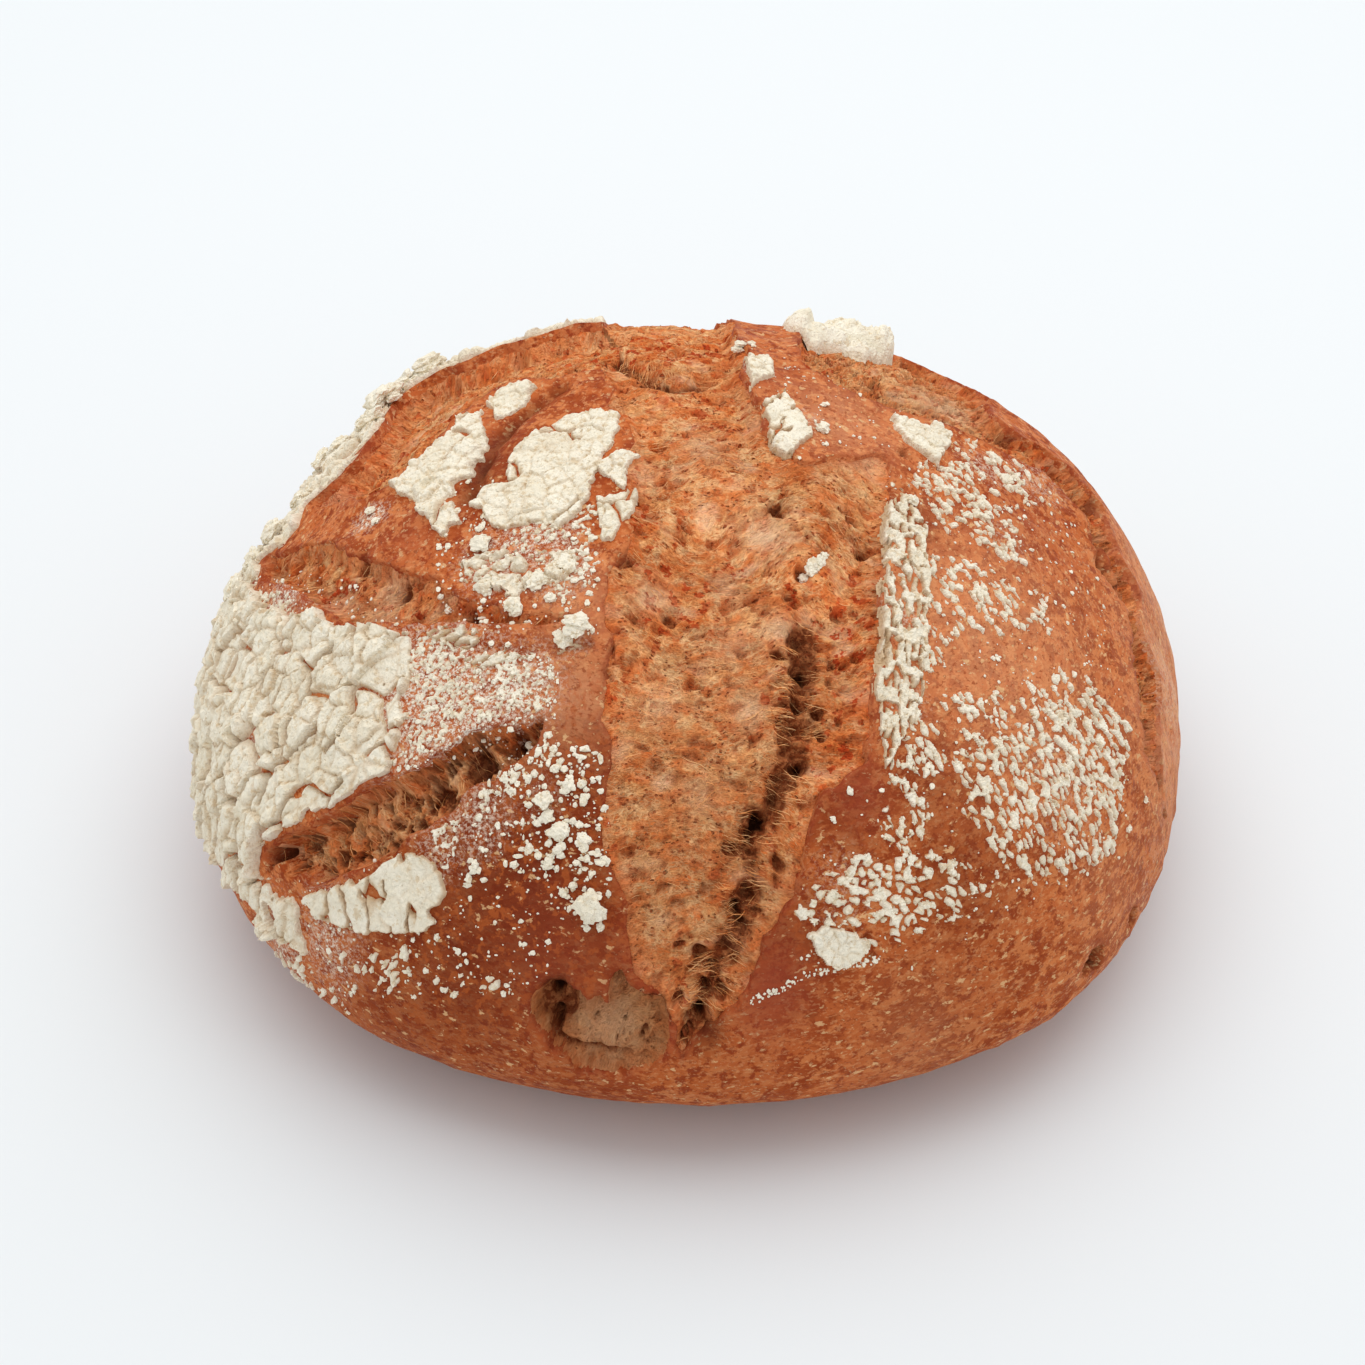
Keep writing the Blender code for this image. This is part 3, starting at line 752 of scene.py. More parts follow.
def crumb_relief(places, number):
    """(height, the numbers that colour it) of the crumb's own relief."""
    axes = pulled(places, number)
    bent = shaken(shaken(axes, 0.0035, 0.0008, 42), 0.0012, 0.0003, 52)
    film = np.maximum(zone(places, FILMS), 0.75 * ease(flat_noise(axes, (0.012, 0.006), 43) * 2.6 - 0.7))
    strength = 1 - 0.75 * film
    fibres = ridges(bent, (0.0085, 0.0014), 44)
    ledges = ridges(bent, (0.0120, 0.0042), 51)
    lumps = flat_noise(axes, (0.0080, 0.0050), 46)
    first, second, pore = cells_on(bent, (0.0028, 0.0016), 53)
    wall = np.exp(-(((second - first) / 0.30) ** 2))
    sponge = (1 - wall) * (0.25 + 0.75 * pore**3)
    large = pits(bent, (0.0056, 0.0034), 47, 0.80)
    first, second, size = cells_on(bent, (0.0044, 0.0018), 54)
    # Open cells, sunk into the crumb and darkened by the material as painted shade.
    caves = (1 - np.exp(-(((second - first) / 0.24) ** 2))) * ease(1.6 * size - 0.2) * OPEN[number]
    torn = 0.0008 * ledges + 0.0003 * fibres - 0.0008 * sponge - 0.0016 * large
    height = 0.0006 * lumps + strength * torn
    values = {
        # The large pits and open pores, which the material darkens as painted shade.
        "hollows": np.clip(0.8 * large + 0.9 * (1 - wall) * ease((pore - 0.70) / 0.15), 0, 1) * strength,
        "film": film,
        "crests": np.clip(1.2 * ledges + 0.6 * fibres - 0.25, 0, 1) * strength,
        "caves": caves,
        "along": axes[:, 0],
        "across": axes[:, 1],
    }
    return height - 0.0018 * caves, values


def crumb_height(places, points, fields):
    """The crumb's height over the plain loaf, and the numbers that colour it."""
    height, values = crumb_relief(places, fields["number"])
    inside = fields["inside"]
    crevice = distance_to_line(places, CREVICE)
    ragged = np.exp(-((crevice / 0.008) ** 2))
    torn_bits = 0.0018 * flat_noise(places, 0.0042, 49) + 0.0012 * ridges(places, (0.0045, 0.0018), 50)
    torn_bits *= ragged
    deep = dents(places)
    rise = 0.0016 * near(places, (685, 324), 0.013)
    surface = rise - fields["depth"] - deep + (height + torn_bits) * ease((inside + 0.0006) / 0.0022)
    sunk = ease(-inside / 0.0011)
    # How far a place lies below the crumb around it; the material darkens it by this as painted shade.
    values["depth"] = np.clip((1.6 * deep - 0.7 * (height + torn_bits)) / 0.0075, 0, 2)
    values["edge"] = ease(1 - inside / 0.0050)
    values["toast"] = TOAST[fields["number"]] + zone(places, TOASTED)
    # Painted shade that dims the crumb: most in the blister, some in the slash, and low on the main tear and
    # by its crevice.
    values["crumb_shade"] = TEAR_SHADE[fields["number"]] + zone(places, SHADED_CRUMB)
    return surface * (1 - sunk) - 0.0022 * sunk + swell(places, points), values


def torn_crumb(name, tears, step):
    """The crumb that shows in some of the tears, on a net with this step."""
    banks = np.vstack([bank for index in tears for bank in TEARS[index]["banks"]])
    places, faces = net_over_box(banks.min(0) - 0.003, banks.max(0) + 0.003, step)
    fields = tear_fields(places)
    wanted = (fields["inside"] > -0.0010) & np.isin(fields["number"], tears)
    faces, used = kept_part(faces, wanted)
    places = places[used]
    fields = {key: numbers[used] for key, numbers in fields.items()}
    points, normals = skin(places)
    height, values = crumb_height(places, points, fields)
    make_piece(name, raised(points, normals, height), faces, crumb_material(), values)


# Crumb strands

# Strands over the crumb: (tear, how many, shortest, longest, highest lift, spread of their directions).
STRANDS = (
    (MAIN, 700, 0.003, 0.010, 0.0003, 0.22),
    (BACK_LEFT, 130, 0.003, 0.008, 0.0004, 0.30),
    (LEFT, 110, 0.003, 0.008, 0.0005, 0.30),
    (RIGHT, 80, 0.003, 0.008, 0.0004, 0.40),
    (SLASH, 130, 0.003, 0.007, 0.0007, 0.30),
    (HIDDEN, 50, 0.003, 0.007, 0.0006, 0.40),
)

# Where wisps hang over a ditch: (its line, how many tufts, how far beside it they root, their direction).
WISPS = (
    (CREVICE, 90, (0.0042, 0.0), -0.1),
    (smooth_line(seen((612, 356), (640, 362), (668, 366), (700, 362))), 26, (0.0, 0.0020), 1.5),
    (smooth_line(seen((1080, 524), (1094, 566), (1112, 606))), 10, (0.0014, 0.0), 0.6),
)


def tubes(paths, radii, sides=3):
    """(points, faces) of thin tubes along many paths of as many points each."""
    runs = np.gradient(paths, axis=1)
    runs /= np.maximum(np.linalg.norm(runs, axis=2, keepdims=True), 1e-12)
    first = np.cross(runs, np.array([0.13, 0.21, 0.97]))
    first /= np.maximum(np.linalg.norm(first, axis=2, keepdims=True), 1e-9)
    second = np.cross(runs, first)
    turns = 2 * math.pi * np.arange(sides) / sides
    ring = np.cos(turns)[:, None] * first[:, :, None, :] + np.sin(turns)[:, None] * second[:, :, None, :]
    points = (paths[:, :, None, :] + radii[:, :, None, None] * ring).reshape(-1, 3)
    count, steps = paths.shape[:2]
    number = np.arange(len(points)).reshape(count, steps, sides)
    after = np.roll(number, -1, axis=2)
    faces = np.stack([number[:, :-1], after[:, :-1], after[:, 1:], number[:, 1:]], -1).reshape(-1, 4)
    return points, faces


def scattered(outline, count, draw):
    """Seeded random places inside an outline on the map."""
    low, high = outline.min(0), outline.max(0)
    found = low + draw.random((count * 8, 2)) * (high - low)
    return found[within(found, outline)][:count]


def strand_paths(places, angles, lengths, lifts, steps, draw):
    """Paths over the crumb at angles on the map. Each rises by its lift and ends in the crumb."""
    share = np.linspace(-0.5, 0.5, steps)[None, :, None]
    along = np.column_stack([np.cos(angles), np.sin(angles)])[:, None, :]
    across = np.stack([-along[..., 1], along[..., 0]], -1)
    bend = draw.normal(0, 0.06, (len(places), 1, 1)) * lengths[:, None, None]
    wave = bend * (1 - 4 * share**2) + 0.02 * lengths[:, None, None] * np.sin(9 * share + bend * 900)
    spots = (places[:, None, :] + share * lengths[:, None, None] * along + wave * across).reshape(-1, 2)
    points, normals = skin(spots)
    fields = tear_fields(spots)
    height, _ = crumb_height(spots, points, fields)
    height = height.reshape(len(places), steps)
    chord = np.linspace(0, 1, steps)
    chord = height[:, :1] * (1 - chord) + height[:, -1:] * chord
    arch = lifts[:, None] * (1 - (2 * share[..., 0]) ** 2) - 0.0002
    height = np.maximum(height, chord) + arch
    inside = fields["inside"].reshape(len(places), steps)
    height = np.where(inside > 0.0006, height, height - 0.004)
    return raised(points, normals, height.ravel()).reshape(len(places), steps, 3)


def tufts(draw, line, count, beside, heading):
    """Wisps that hang over a ditch from both its sides: (places, angles, lengths, lifts)."""
    each = 5
    stops = draw.integers(2, len(line) - 2, count)
    side = np.where(draw.random(count) < 0.6, -1.0, 1.0)
    roots = line[stops] + side[:, None] * beside + draw.normal(0, 0.0008, (count, 2))
    roots = np.repeat(roots, each, axis=0) + draw.normal(0, 0.0006, (count * each, 2))
    turn = np.repeat(draw.normal(heading, 0.25, count), each) + draw.normal(0, 0.10, count * each)
    lengths = np.repeat(0.004 + 0.005 * draw.random(count), each) * (0.6 + 0.5 * draw.random(count * each))
    return roots, turn, lengths, 0.0009 * draw.random(count * each)


def pull_angle(places, number):
    """The direction of pull at each place, in radians on the map."""
    step = 1e-4
    base = pulled(places, number)[:, 1]
    slope_x = (pulled(places + [step, 0], number)[:, 1] - base) / step
    slope_y = (pulled(places + [0, step], number)[:, 1] - base) / step
    return np.arctan2(-slope_x, slope_y)


def crumb_strands():
    """Thin torn fibres that lie over the crumb or span its hollows."""
    draw = np.random.default_rng(5)
    parts = []
    for index, count, shortest, longest, highest, stray in STRANDS:
        made = TEARS[index]
        places = scattered(np.vstack([made["banks"][0], made["banks"][1][::-1]]), count, draw)
        number = np.full(len(places), index)
        angles = pull_angle(places, number) + draw.normal(0, stray, len(places))
        lengths = shortest + (longest - shortest) * draw.random(len(places)) ** 2
        parts.append((places, angles, lengths, highest * draw.random(len(places)) ** 1.5))
    for wisps in WISPS:
        parts.append(tufts(draw, *wisps))
    places, angles, lengths, lifts = (np.concatenate(column) for column in zip(*parts))
    paths = strand_paths(places, angles, lengths, lifts, STRAND_STEPS, draw)
    taper = np.sin(np.linspace(0.12, math.pi - 0.12, STRAND_STEPS)) ** 0.7
    radii = (0.00004 + 0.00008 * draw.random(len(paths)) ** 2)[:, None] * taper
    points, faces = tubes(paths, radii)
    tone = np.repeat(draw.random(len(paths)), STRAND_STEPS * 3)
    make_piece("crumb_strands", points, faces, strand_material(), {"tone": tone})


# Flour fused to the crust

# How each kind of dried flour looks: thickness, how unevenly high its pieces stand, their size, the gap
# between them, share of the joints that stay closed, how much longer the pieces are than wide, knobs as
# (size, height), how ragged its border is, how far in it is thinned out, how far in it reaches its height,
# share of pieces that stayed, how ochre its cracks and knob joints are (in the joints painted shade), step of
# its net.
KINDS = {
    "cake": dict(thick=0.0034, uneven=0.75, cell=0.0096, gap=0.0006, closed=0.42, long=1.15,
                 knobs=((0.0060, 0.0010), (0.0023, 0.00022)), ragged=0.0028, fade=0.0024, round=0.0006,
                 stayed=1.1, ochre=0.6, step=0.00043),
    "cake_thin": dict(thick=0.0018, uneven=0.7, cell=0.0046, gap=0.0006, closed=0.35, long=1.0,
                      knobs=((0.0022, 0.0006), (0.0010, 0.0002)), ragged=0.0026, fade=0.004, round=0.0007,
                      stayed=0.95, ochre=0.6, step=0.00038),
    "crackle": dict(thick=0.0008, uneven=0.6, cell=0.0019, gap=0.00046, closed=0.28, long=1.5,
                    knobs=((0.0010, 0.0002),), ragged=0.0030, fade=0.010, round=0.0004,
                    stayed=0.80, ochre=0.4, step=0.00034),
    "sparse": dict(thick=0.0007, uneven=0.6, cell=0.0018, gap=0.00045, closed=0.28, long=1.7,
                   knobs=((0.0010, 0.0002),), ragged=0.0030, fade=0.010, round=0.0004,
                   stayed=0.46, ochre=0.3, step=0.00034),
    "strip": dict(thick=0.0013, uneven=0.5, cell=0.0021, gap=0.00044, closed=0.46, long=3.6,
                  knobs=((0.0013, 0.0002),), ragged=0.0012, fade=0.0026, round=0.0004,
                  stayed=1.0, ochre=0.9, step=0.00034),
    "sheet": dict(thick=0.0014, uneven=0.35, cell=0.0110, gap=0.0004, closed=0.64, long=1.3,
                  knobs=((0.0050, 0.0005), (0.0015, 0.0002)), ragged=0.0018, fade=0.0016, round=0.0006,
                  stayed=1.1, ochre=0.6, step=0.00038),
    "plates": dict(thick=0.0015, uneven=0.15, cell=0.0056, gap=0.00036, closed=0.42, long=2.2,
                   knobs=((0.0080, 0.0002), (0.0013, 0.00008)), ragged=0.0012, fade=0.0008, round=0.0005,
                   stayed=1.3, ochre=0.9, step=0.00034),
    "plate": dict(thick=0.0012, uneven=0.1, cell=0.0080, gap=0.0003, closed=0.66, long=1.0,
                  knobs=((0.0030, 0.0004), (0.0012, 0.0001)), ragged=0.0016, fade=0.0012, round=0.0006,
                  stayed=1.1, ochre=0.6, step=0.00036),
    "slab": dict(thick=0.0020, uneven=0.0, cell=0.0600, gap=0.0003, closed=0.9, long=1.5,
                 knobs=((0.0120, 0.0004), (0.0020, 0.00015)), ragged=0.0018, fade=0.0010, round=0.0046,
                 stayed=1.3, ochre=0.4, step=0.00060),
    "powder": dict(thick=0.0005, uneven=0.7, cell=0.0012, gap=0.00025, closed=0.50, long=1.0,
                   knobs=((0.0008, 0.0002),), ragged=0.0040, fade=0.008, round=0.0003,
                   stayed=0.58, ochre=0.2, step=0.00034),
    "back": dict(thick=0.0020, uneven=0.7, cell=0.0075, gap=0.0007, closed=0.4, long=1.6,
                 knobs=((0.0040, 0.0009), (0.0018, 0.0003)), ragged=0.0030, fade=0.004, round=0.0010,
                 stayed=0.9, ochre=0.6, step=0.00068),
}

# Where the flour lies: (piece, kind, direction of its pieces, outline, whether it lies on torn crumb).
PATCHES = (
    ("flour_left", "cake", 20, seen(
        (190, 700), (200, 640), (222, 600), (256, 588), (272, 618), (345, 624), (412, 630), (420, 660),
        (412, 690), (418, 715), (395, 750), (398, 778), (362, 800), (325, 815), (300, 828), (268, 845),
        (262, 870), (300, 905), (306, 945), (270, 925), (235, 885), (208, 830), (190, 760),
    ), False),
    ("flour_left", "powder", 20, seen(
        (412, 632), (480, 650), (555, 655), (556, 718), (500, 718), (460, 738), (420, 765), (398, 780),
        (418, 715),
    ), False),
    ("flour_left", "powder", 20, seen((262, 580), (300, 592), (308, 622), (280, 630), (258, 610)), False),
    ("flour_left", "plates", 82, seen(
        (310, 899), (337, 879), (360, 868), (382, 862), (413, 852), (433, 855), (447, 871), (447, 894),
        (433, 911), (441, 922), (427, 933), (365, 935), (337, 925), (315, 914),
    ), False),
    ("flour_left", "strip", 0, seen(
        (430, 634), (442, 626), (478, 628), (484, 640), (470, 648), (446, 647),
    ), False),
    ("flour_left", "strip", 8, seen(
        (457, 660), (500, 655), (545, 650), (588, 640), (590, 646), (545, 660), (480, 668),
    ), False),
    ("flour_top", "sheet", 40, seen(
        (393, 487), (411, 463), (446, 440), (459, 419), (482, 413), (490, 437), (482, 455), (469, 479),
        (453, 487), (459, 510), (466, 526), (443, 543), (425, 518), (409, 502),
    ), False),
    ("flour_top", "sheet", 20, seen(
        (489, 403), (500, 392), (527, 383), (542, 387), (527, 400), (511, 413), (495, 420),
    ), True),
    ("flour_top", "sheet", 20, seen(
        (469, 498), (506, 481), (515, 455), (538, 432), (561, 415), (587, 406), (618, 415), (618, 426),
        (604, 452), (598, 469), (598, 481), (590, 500), (561, 530), (538, 527), (500, 530), (475, 510),
    ), True),
    ("flour_top", "sheet", 20, seen(
        (598, 464), (621, 452), (644, 449), (627, 467), (624, 490), (601, 478),
    ), True),
    ("flour_top", "sheet", 20, seen((595, 498), (635, 495), (627, 518), (612, 541), (601, 538)), True),
    ("flour_top", "cake_thin", 20, seen(
        (457, 564), (486, 555), (520, 555), (561, 547), (587, 555), (584, 573), (555, 584), (523, 596),
        (512, 610), (495, 601), (472, 584),
    ), True),
    ("flour_top", "powder", 20, seen(
        (510, 530), (598, 500), (596, 590), (560, 600), (520, 600), (560, 545),
    ), False),
    ("flour_top", "sheet", 60, seen((744, 363), (770, 360), (773, 378), (750, 395)), True),
    ("flour_top", "plates", 60, seen((762, 412), (785, 392), (813, 435), (790, 461), (773, 446)), True),
    ("flour_top", "sheet", 60, seen(
        (888, 415), (924, 430), (930, 424), (954, 436), (942, 466), (930, 466), (900, 442),
    ), True),
    ("flour_rim", "strip", 86, seen(
        (896, 486), (918, 520), (926, 580), (926, 640), (918, 690), (904, 740), (882, 770), (873, 700),
        (877, 640), (880, 580), (882, 510),
    ), True),
    ("flour_rim", "crackle", -52, seen(
        (900, 481), (930, 462), (960, 470), (984, 500), (1017, 541), (1014, 562), (984, 565), (960, 535),
        (945, 547), (930, 508),
    ), False),
    ("flour_rim", "sparse", -55, seen(
        (950, 440), (985, 445), (1050, 500), (1046, 510), (1000, 520), (960, 480),
    ), False),
    ("flour_rim", "sparse", -60, seen(
        (905, 560), (985, 565), (1045, 600), (1040, 640), (960, 640), (915, 680),
    ), False),
    ("flour_right", "sparse", -50, seen(
        (886, 694), (930, 700), (990, 690), (1054, 670), (1095, 688), (1054, 720), (987, 757), (934, 779),
        (893, 779),
    ), False),
    ("flour_right", "crackle", -45, seen(
        (955, 752), (987, 742), (1028, 720), (1054, 700), (1095, 690), (1119, 720), (1122, 769),
        (1118, 811), (1112, 850), (1068, 882), (1015, 880), (988, 856), (968, 812),
    ), False),
    ("flour_right", "crackle", -70, seen(
        (884, 752), (915, 742), (934, 770), (930, 815), (922, 850), (900, 858), (884, 832), (878, 790),
    ), False),
    ("flour_right", "crackle", 5, seen(
        (884, 830), (920, 850), (1000, 872), (987, 900), (902, 932), (880, 930), (850, 920), (812, 925),
        (793, 912), (800, 876), (867, 850), (884, 822),
    ), False),
    ("flour_right", "plate", 0, seen(
        (808, 934), (822, 927), (848, 926), (868, 936), (874, 944), (858, 958), (826, 962),
    ), False),
    ("flour_front", "powder", 60, seen(
        (415, 800), (470, 770), (545, 735), (560, 760), (500, 800), (470, 840), (445, 850),
    ), False),
    ("flour_front", "sparse", 20, seen(
        (330, 950), (400, 945), (430, 975), (510, 982), (505, 992), (430, 1006), (375, 990),
    ), False),
    ("flour_front", "sparse", 10, seen(
        (268, 925), (300, 950), (345, 1000), (350, 1012), (300, 985), (270, 950),
    ), False),
    ("flour_ridge", "back", 28, np.vstack([
        seen((640, 325), (572, 337), (516, 352), (464, 369), (412, 393), (366, 445), (312, 505), (255, 591)),
        [(-0.160, 0.020), (-0.128, 0.058), (-0.094, 0.080), (-0.056, 0.104), (-0.026, 0.110)],
    ]), False),
    ("flour_back", "slab", -30, np.vstack([
        seen((786, 332), (806, 338), (840, 342), (870, 350), (898, 352)),
        [(0.056, 0.105), (0.046, 0.112), (0.030, 0.114)],
    ]), True),
    ("flour_back", "back", 60, np.array([
        (0.060, 0.130), (0.100, 0.110), (0.130, 0.085), (0.110, 0.140), (0.070, 0.160),
    ]), False),
)

# Where the flour is heaped up: (pixel, radius, how many times its thickness comes on top).
HEAPS = (
    ((884, 346), 0.014, 3.4), ((856, 340), 0.012, 2.9), ((826, 336), 0.012, 1.7),
)


def patch_distance(places, index):
    """(how far inside a piece of flour each place is, the piece's number) for one patch."""
    _, kind_name, turn, outline, on_crumb = PATCHES[index]
    kind, layer = KINDS[kind_name], 60 + 5 * index
    size = kind["cell"]
    spots = shaken(turned(places, turn), 0.8 * size, 0.13 * size, layer + 0.2)
    spots = shaken(spots, max(0.3 * size, 0.0009), min(0.12 * size, 0.0005), layer + 0.7)
    first, second, number = cells_on(spots, (size * kind["long"], size), layer)
    joint = 0.5 + 0.9 * flat_noise(places, 1.3 * size, layer + 0.6)
    closed = ease((kind["closed"] - joint) / 0.15 + 0.5)
    piece = (second - first) * size / 2 - kind["gap"] / 2
    piece = np.maximum(piece, 0.0012 * closed - 0.0004)
    edge = inset(places, outline) + kind["ragged"] * (
        0.9 * flat_noise(places, 0.011, layer + 0.4)
        + 0.6 * flat_noise(places, 0.005, layer + 0.1)
        + 0.4 * flat_noise(places, 0.0018, layer + 0.3)
    )
    if not on_crumb:
        bank = 0.0012 + 0.0008 * flat_noise(places, 0.0030, layer + 0.3)
        edge = np.minimum(edge, -tear_fields(places)["inside"] - bank)
    patchy = 1 + (1 - kind["closed"]) * 0.7 * flat_noise(places, 0.007, layer + 0.5)
    stayed = kind["stayed"] * ease(0.5 + edge / kind["fade"]) * patchy
    return np.minimum(np.where(number > stayed, -0.001, piece), edge), number


def flour_top_height(places, kind, number, layer):
    """(how thick the flour is, how sunk each place is between its knobs, from 0 to 1)."""
    height = kind["thick"] * (1 - kind["uneven"] * number)
    sunk = np.zeros(len(places))
    for order, (size, high) in enumerate(kind["knobs"]):
        spots = shaken(places, size, 0.14 * size, layer + order)
        spots = shaken(spots, 0.35 * size, 0.10 * size, layer + 3.5)
        first, second, knob_number = cells_on(spots, size, layer + 3 + order)
        gap = np.exp(-(second - first) * size / (0.07 * size + 0.00018))
        height = height + high * (ease(2.4 * (0.95 - first)) - 0.8 - 0.8 * gap + 1.8 * (knob_number - 0.5))
        sunk = np.maximum(sunk, gap * min(high / 0.0008, 1))
    steps = 2.5 * flat_noise(places, kind["cell"], layer + 0.8)
    steps = np.floor(steps) + ease((steps - np.floor(steps) - 0.45) / 0.12)
    grain = 0.00016 * flat_noise(places, 0.0009, layer + 0.9)
    return np.maximum(height + 0.12 * kind["thick"] * steps, 0.25 * kind["thick"]) + grain, sunk


def flour_patch(index):
    """(points, faces, values) of one patch of flour."""
    _, kind_name, _, outline, on_crumb = PATCHES[index]
    kind = KINDS[kind_name]
    places, faces = net_over_box(outline.min(0) - 0.004, outline.max(0) + 0.004, kind["step"])
    inner, number = patch_distance(places, index)
    faces, used = kept_part(faces, inner > -0.0003)
    places, inner, number = places[used], inner[used], number[used]
    top, sunk = flour_top_height(places, kind, number, 60 + 5 * index)
    top = top * (1 + zone(places, HEAPS))
    full = np.clip(inner / kind["round"], 0, 1)
    rise = np.minimum(top * np.sqrt(full * (2 - full)), 0.0002 + inner * 5.0)
    rise = np.where(inner > 0, rise, np.maximum(inner * 3.0, -UNDER_FLOUR))
    points, normals = skin(places)
    points = raised(points, normals, ground(places, points) + rise)
    # Ochre where the flour thins out at its cracks and edges, and painted shade in the joints between its
    # knobs.
    thin_and_joint_shade = kind["ochre"] * np.maximum(1 - np.clip(inner / 0.0006, 0, 1), sunk * full)
    return points, faces, {"thin_and_joint_shade": thin_and_joint_shade, "piece": number}


def flour():
    """All the patches of flour, joined into the pieces that they belong to."""
    for name in dict.fromkeys(patch[0] for patch in PATCHES):
        parts = [flour_patch(index) for index, patch in enumerate(PATCHES) if patch[0] == name]
        points, faces, values = joined(parts)
        make_piece(name, points, faces, flour_material(), values, smooth=False)


# Loose flour

# Clumps of flour that lie loose: (pixel, radius, how many lumps make it).
CLUMPS = (
    ((590, 906), 0.0036, 14), ((588, 926), 0.0014, 4), ((600, 925), 0.0012, 3), ((584, 842), 0.0020, 6),
    ((586, 798), 0.0018, 5), ((560, 832), 0.0024, 7), ((568, 785), 0.0017, 4), ((556, 770), 0.0015, 4),
    ((582, 757), 0.0014, 3), ((545, 800), 0.0022, 6), ((548, 815), 0.0018, 5), ((578, 630), 0.0030, 10),
    ((562, 640), 0.0024, 8), ((560, 850), 0.0018, 5), ((548, 862), 0.0018, 5), ((530, 850), 0.0014, 4),
    ((578, 862), 0.0012, 3), ((476, 868), 0.0018, 5), ((470, 880), 0.0014, 4), ((566, 895), 0.0012, 3),
    ((608, 860), 0.0012, 3), ((808, 568), 0.0014, 5), ((812, 564), 0.0017, 6), ((816, 560), 0.0018, 6),
    ((821, 556), 0.0017, 6), ((826, 552), 0.0013, 5), ((910, 506), 0.0020, 6), ((848, 792), 0.0010, 3),
    ((832, 820), 0.0010, 3), ((740, 352), 0.0022, 6), ((752, 350), 0.0016, 4), ((1125, 827), 0.0014, 4),
    ((1140, 800), 0.0010, 3), ((825, 405), 0.0014, 4), ((822, 430), 0.0018, 5), ((423, 362), 0.0046, 16),
    ((404, 382), 0.0038, 12), ((390, 408), 0.0052, 20), ((372, 424), 0.0038, 12),
    ((340, 446), 0.0034, 10), ((324, 459), 0.0040, 13), ((300, 500), 0.0030, 9), ((278, 534), 0.0040, 13),
    ((258, 562), 0.0032, 10), ((240, 590), 0.0036, 11), ((486, 590), 0.0022, 7), ((515, 608), 0.0026, 8),
    ((538, 582), 0.0024, 8), ((568, 566), 0.0024, 8), ((482, 548), 0.0026, 8), ((550, 600), 0.0016, 5),
    ((372, 514), 0.0016, 5), ((378, 524), 0.0014, 4),
)

# Grains of flour strewn about: (outline, how many, smallest and largest radius).
STREWN = (
    (seen(
        (500, 735), (600, 750), (606, 800), (612, 900), (600, 930), (560, 920), (530, 870), (470, 860),
    ), 420, 0.0002, 0.0009),
    (seen((440, 480), (600, 500), (600, 640), (440, 640)), 420, 0.0002, 0.0008),
    (seen((420, 640), (560, 655), (556, 720), (400, 780)), 360, 0.0002, 0.0006),
    (seen((300, 880), (520, 850), (560, 960), (520, 1000), (340, 1000)), 260, 0.0002, 0.0007),
    (seen(
        (880, 480), (1060, 480), (1120, 720), (1120, 860), (900, 980), (800, 960), (800, 880), (880, 780),
    ), 500, 0.0002, 0.0006),
    (seen((740, 350), (900, 400), (900, 450), (780, 470)), 90, 0.0002, 0.0006),
    (seen((262, 580), (300, 560), (420, 630), (300, 640)), 90, 0.0002, 0.0006),
    (seen(
        (748, 994), (775, 985), (800, 971), (835, 964), (880, 954), (880, 959), (836, 970), (802, 977),
        (777, 992), (750, 1001),
    ), 130, 0.00025, 0.0005),
)


def ball(levels):
    """(points, faces) of a round ball cut from an icosahedron, with triangles halved so many times."""
    golden = (1 + math.sqrt(5)) / 2
    points = [(s * a, t * b, 0) for a, b in ((1, golden),) for s in (-1, 1) for t in (-1, 1)]
    points = np.array(points + [(0, x, y) for x, y, _ in points] + [(y, 0, x) for x, y, _ in points], float)
    gaps = np.linalg.norm(points[:, None] - points[None], axis=2)
    joins = (gaps > 0.1) & (gaps < 2.1)
    faces = [
        (i, j, k) for i in range(12) for j in range(i + 1, 12) for k in range(j + 1, 12)
        if joins[i, j] and joins[j, k] and joins[i, k]
    ]
    faces = np.array(faces)
    corners = points[faces]
    flip = (np.cross(corners[:, 1] - corners[:, 0], corners[:, 2] - corners[:, 0]) * corners[:, 0]).sum(1) < 0
    faces[flip] = faces[flip][:, ::-1]
    points /= np.linalg.norm(points, axis=1, keepdims=True)
    for _ in range(levels):
        edges = np.sort(np.vstack([faces[:, [0, 1]], faces[:, [1, 2]], faces[:, [2, 0]]]), axis=1)
        edges, place = np.unique(edges, axis=0, return_inverse=True)
        middles = points[edges].mean(1)
        middles /= np.linalg.norm(middles, axis=1, keepdims=True)
        ab, bc, ca = (place.ravel() + len(points)).reshape(3, -1)
        a, b, c = faces.T
        faces = np.vstack([np.column_stack(t) for t in ((a, ab, ca), (ab, b, bc), (ca, bc, c), (ab, bc, ca))])
        points = np.vstack([points, middles])
    return points, faces


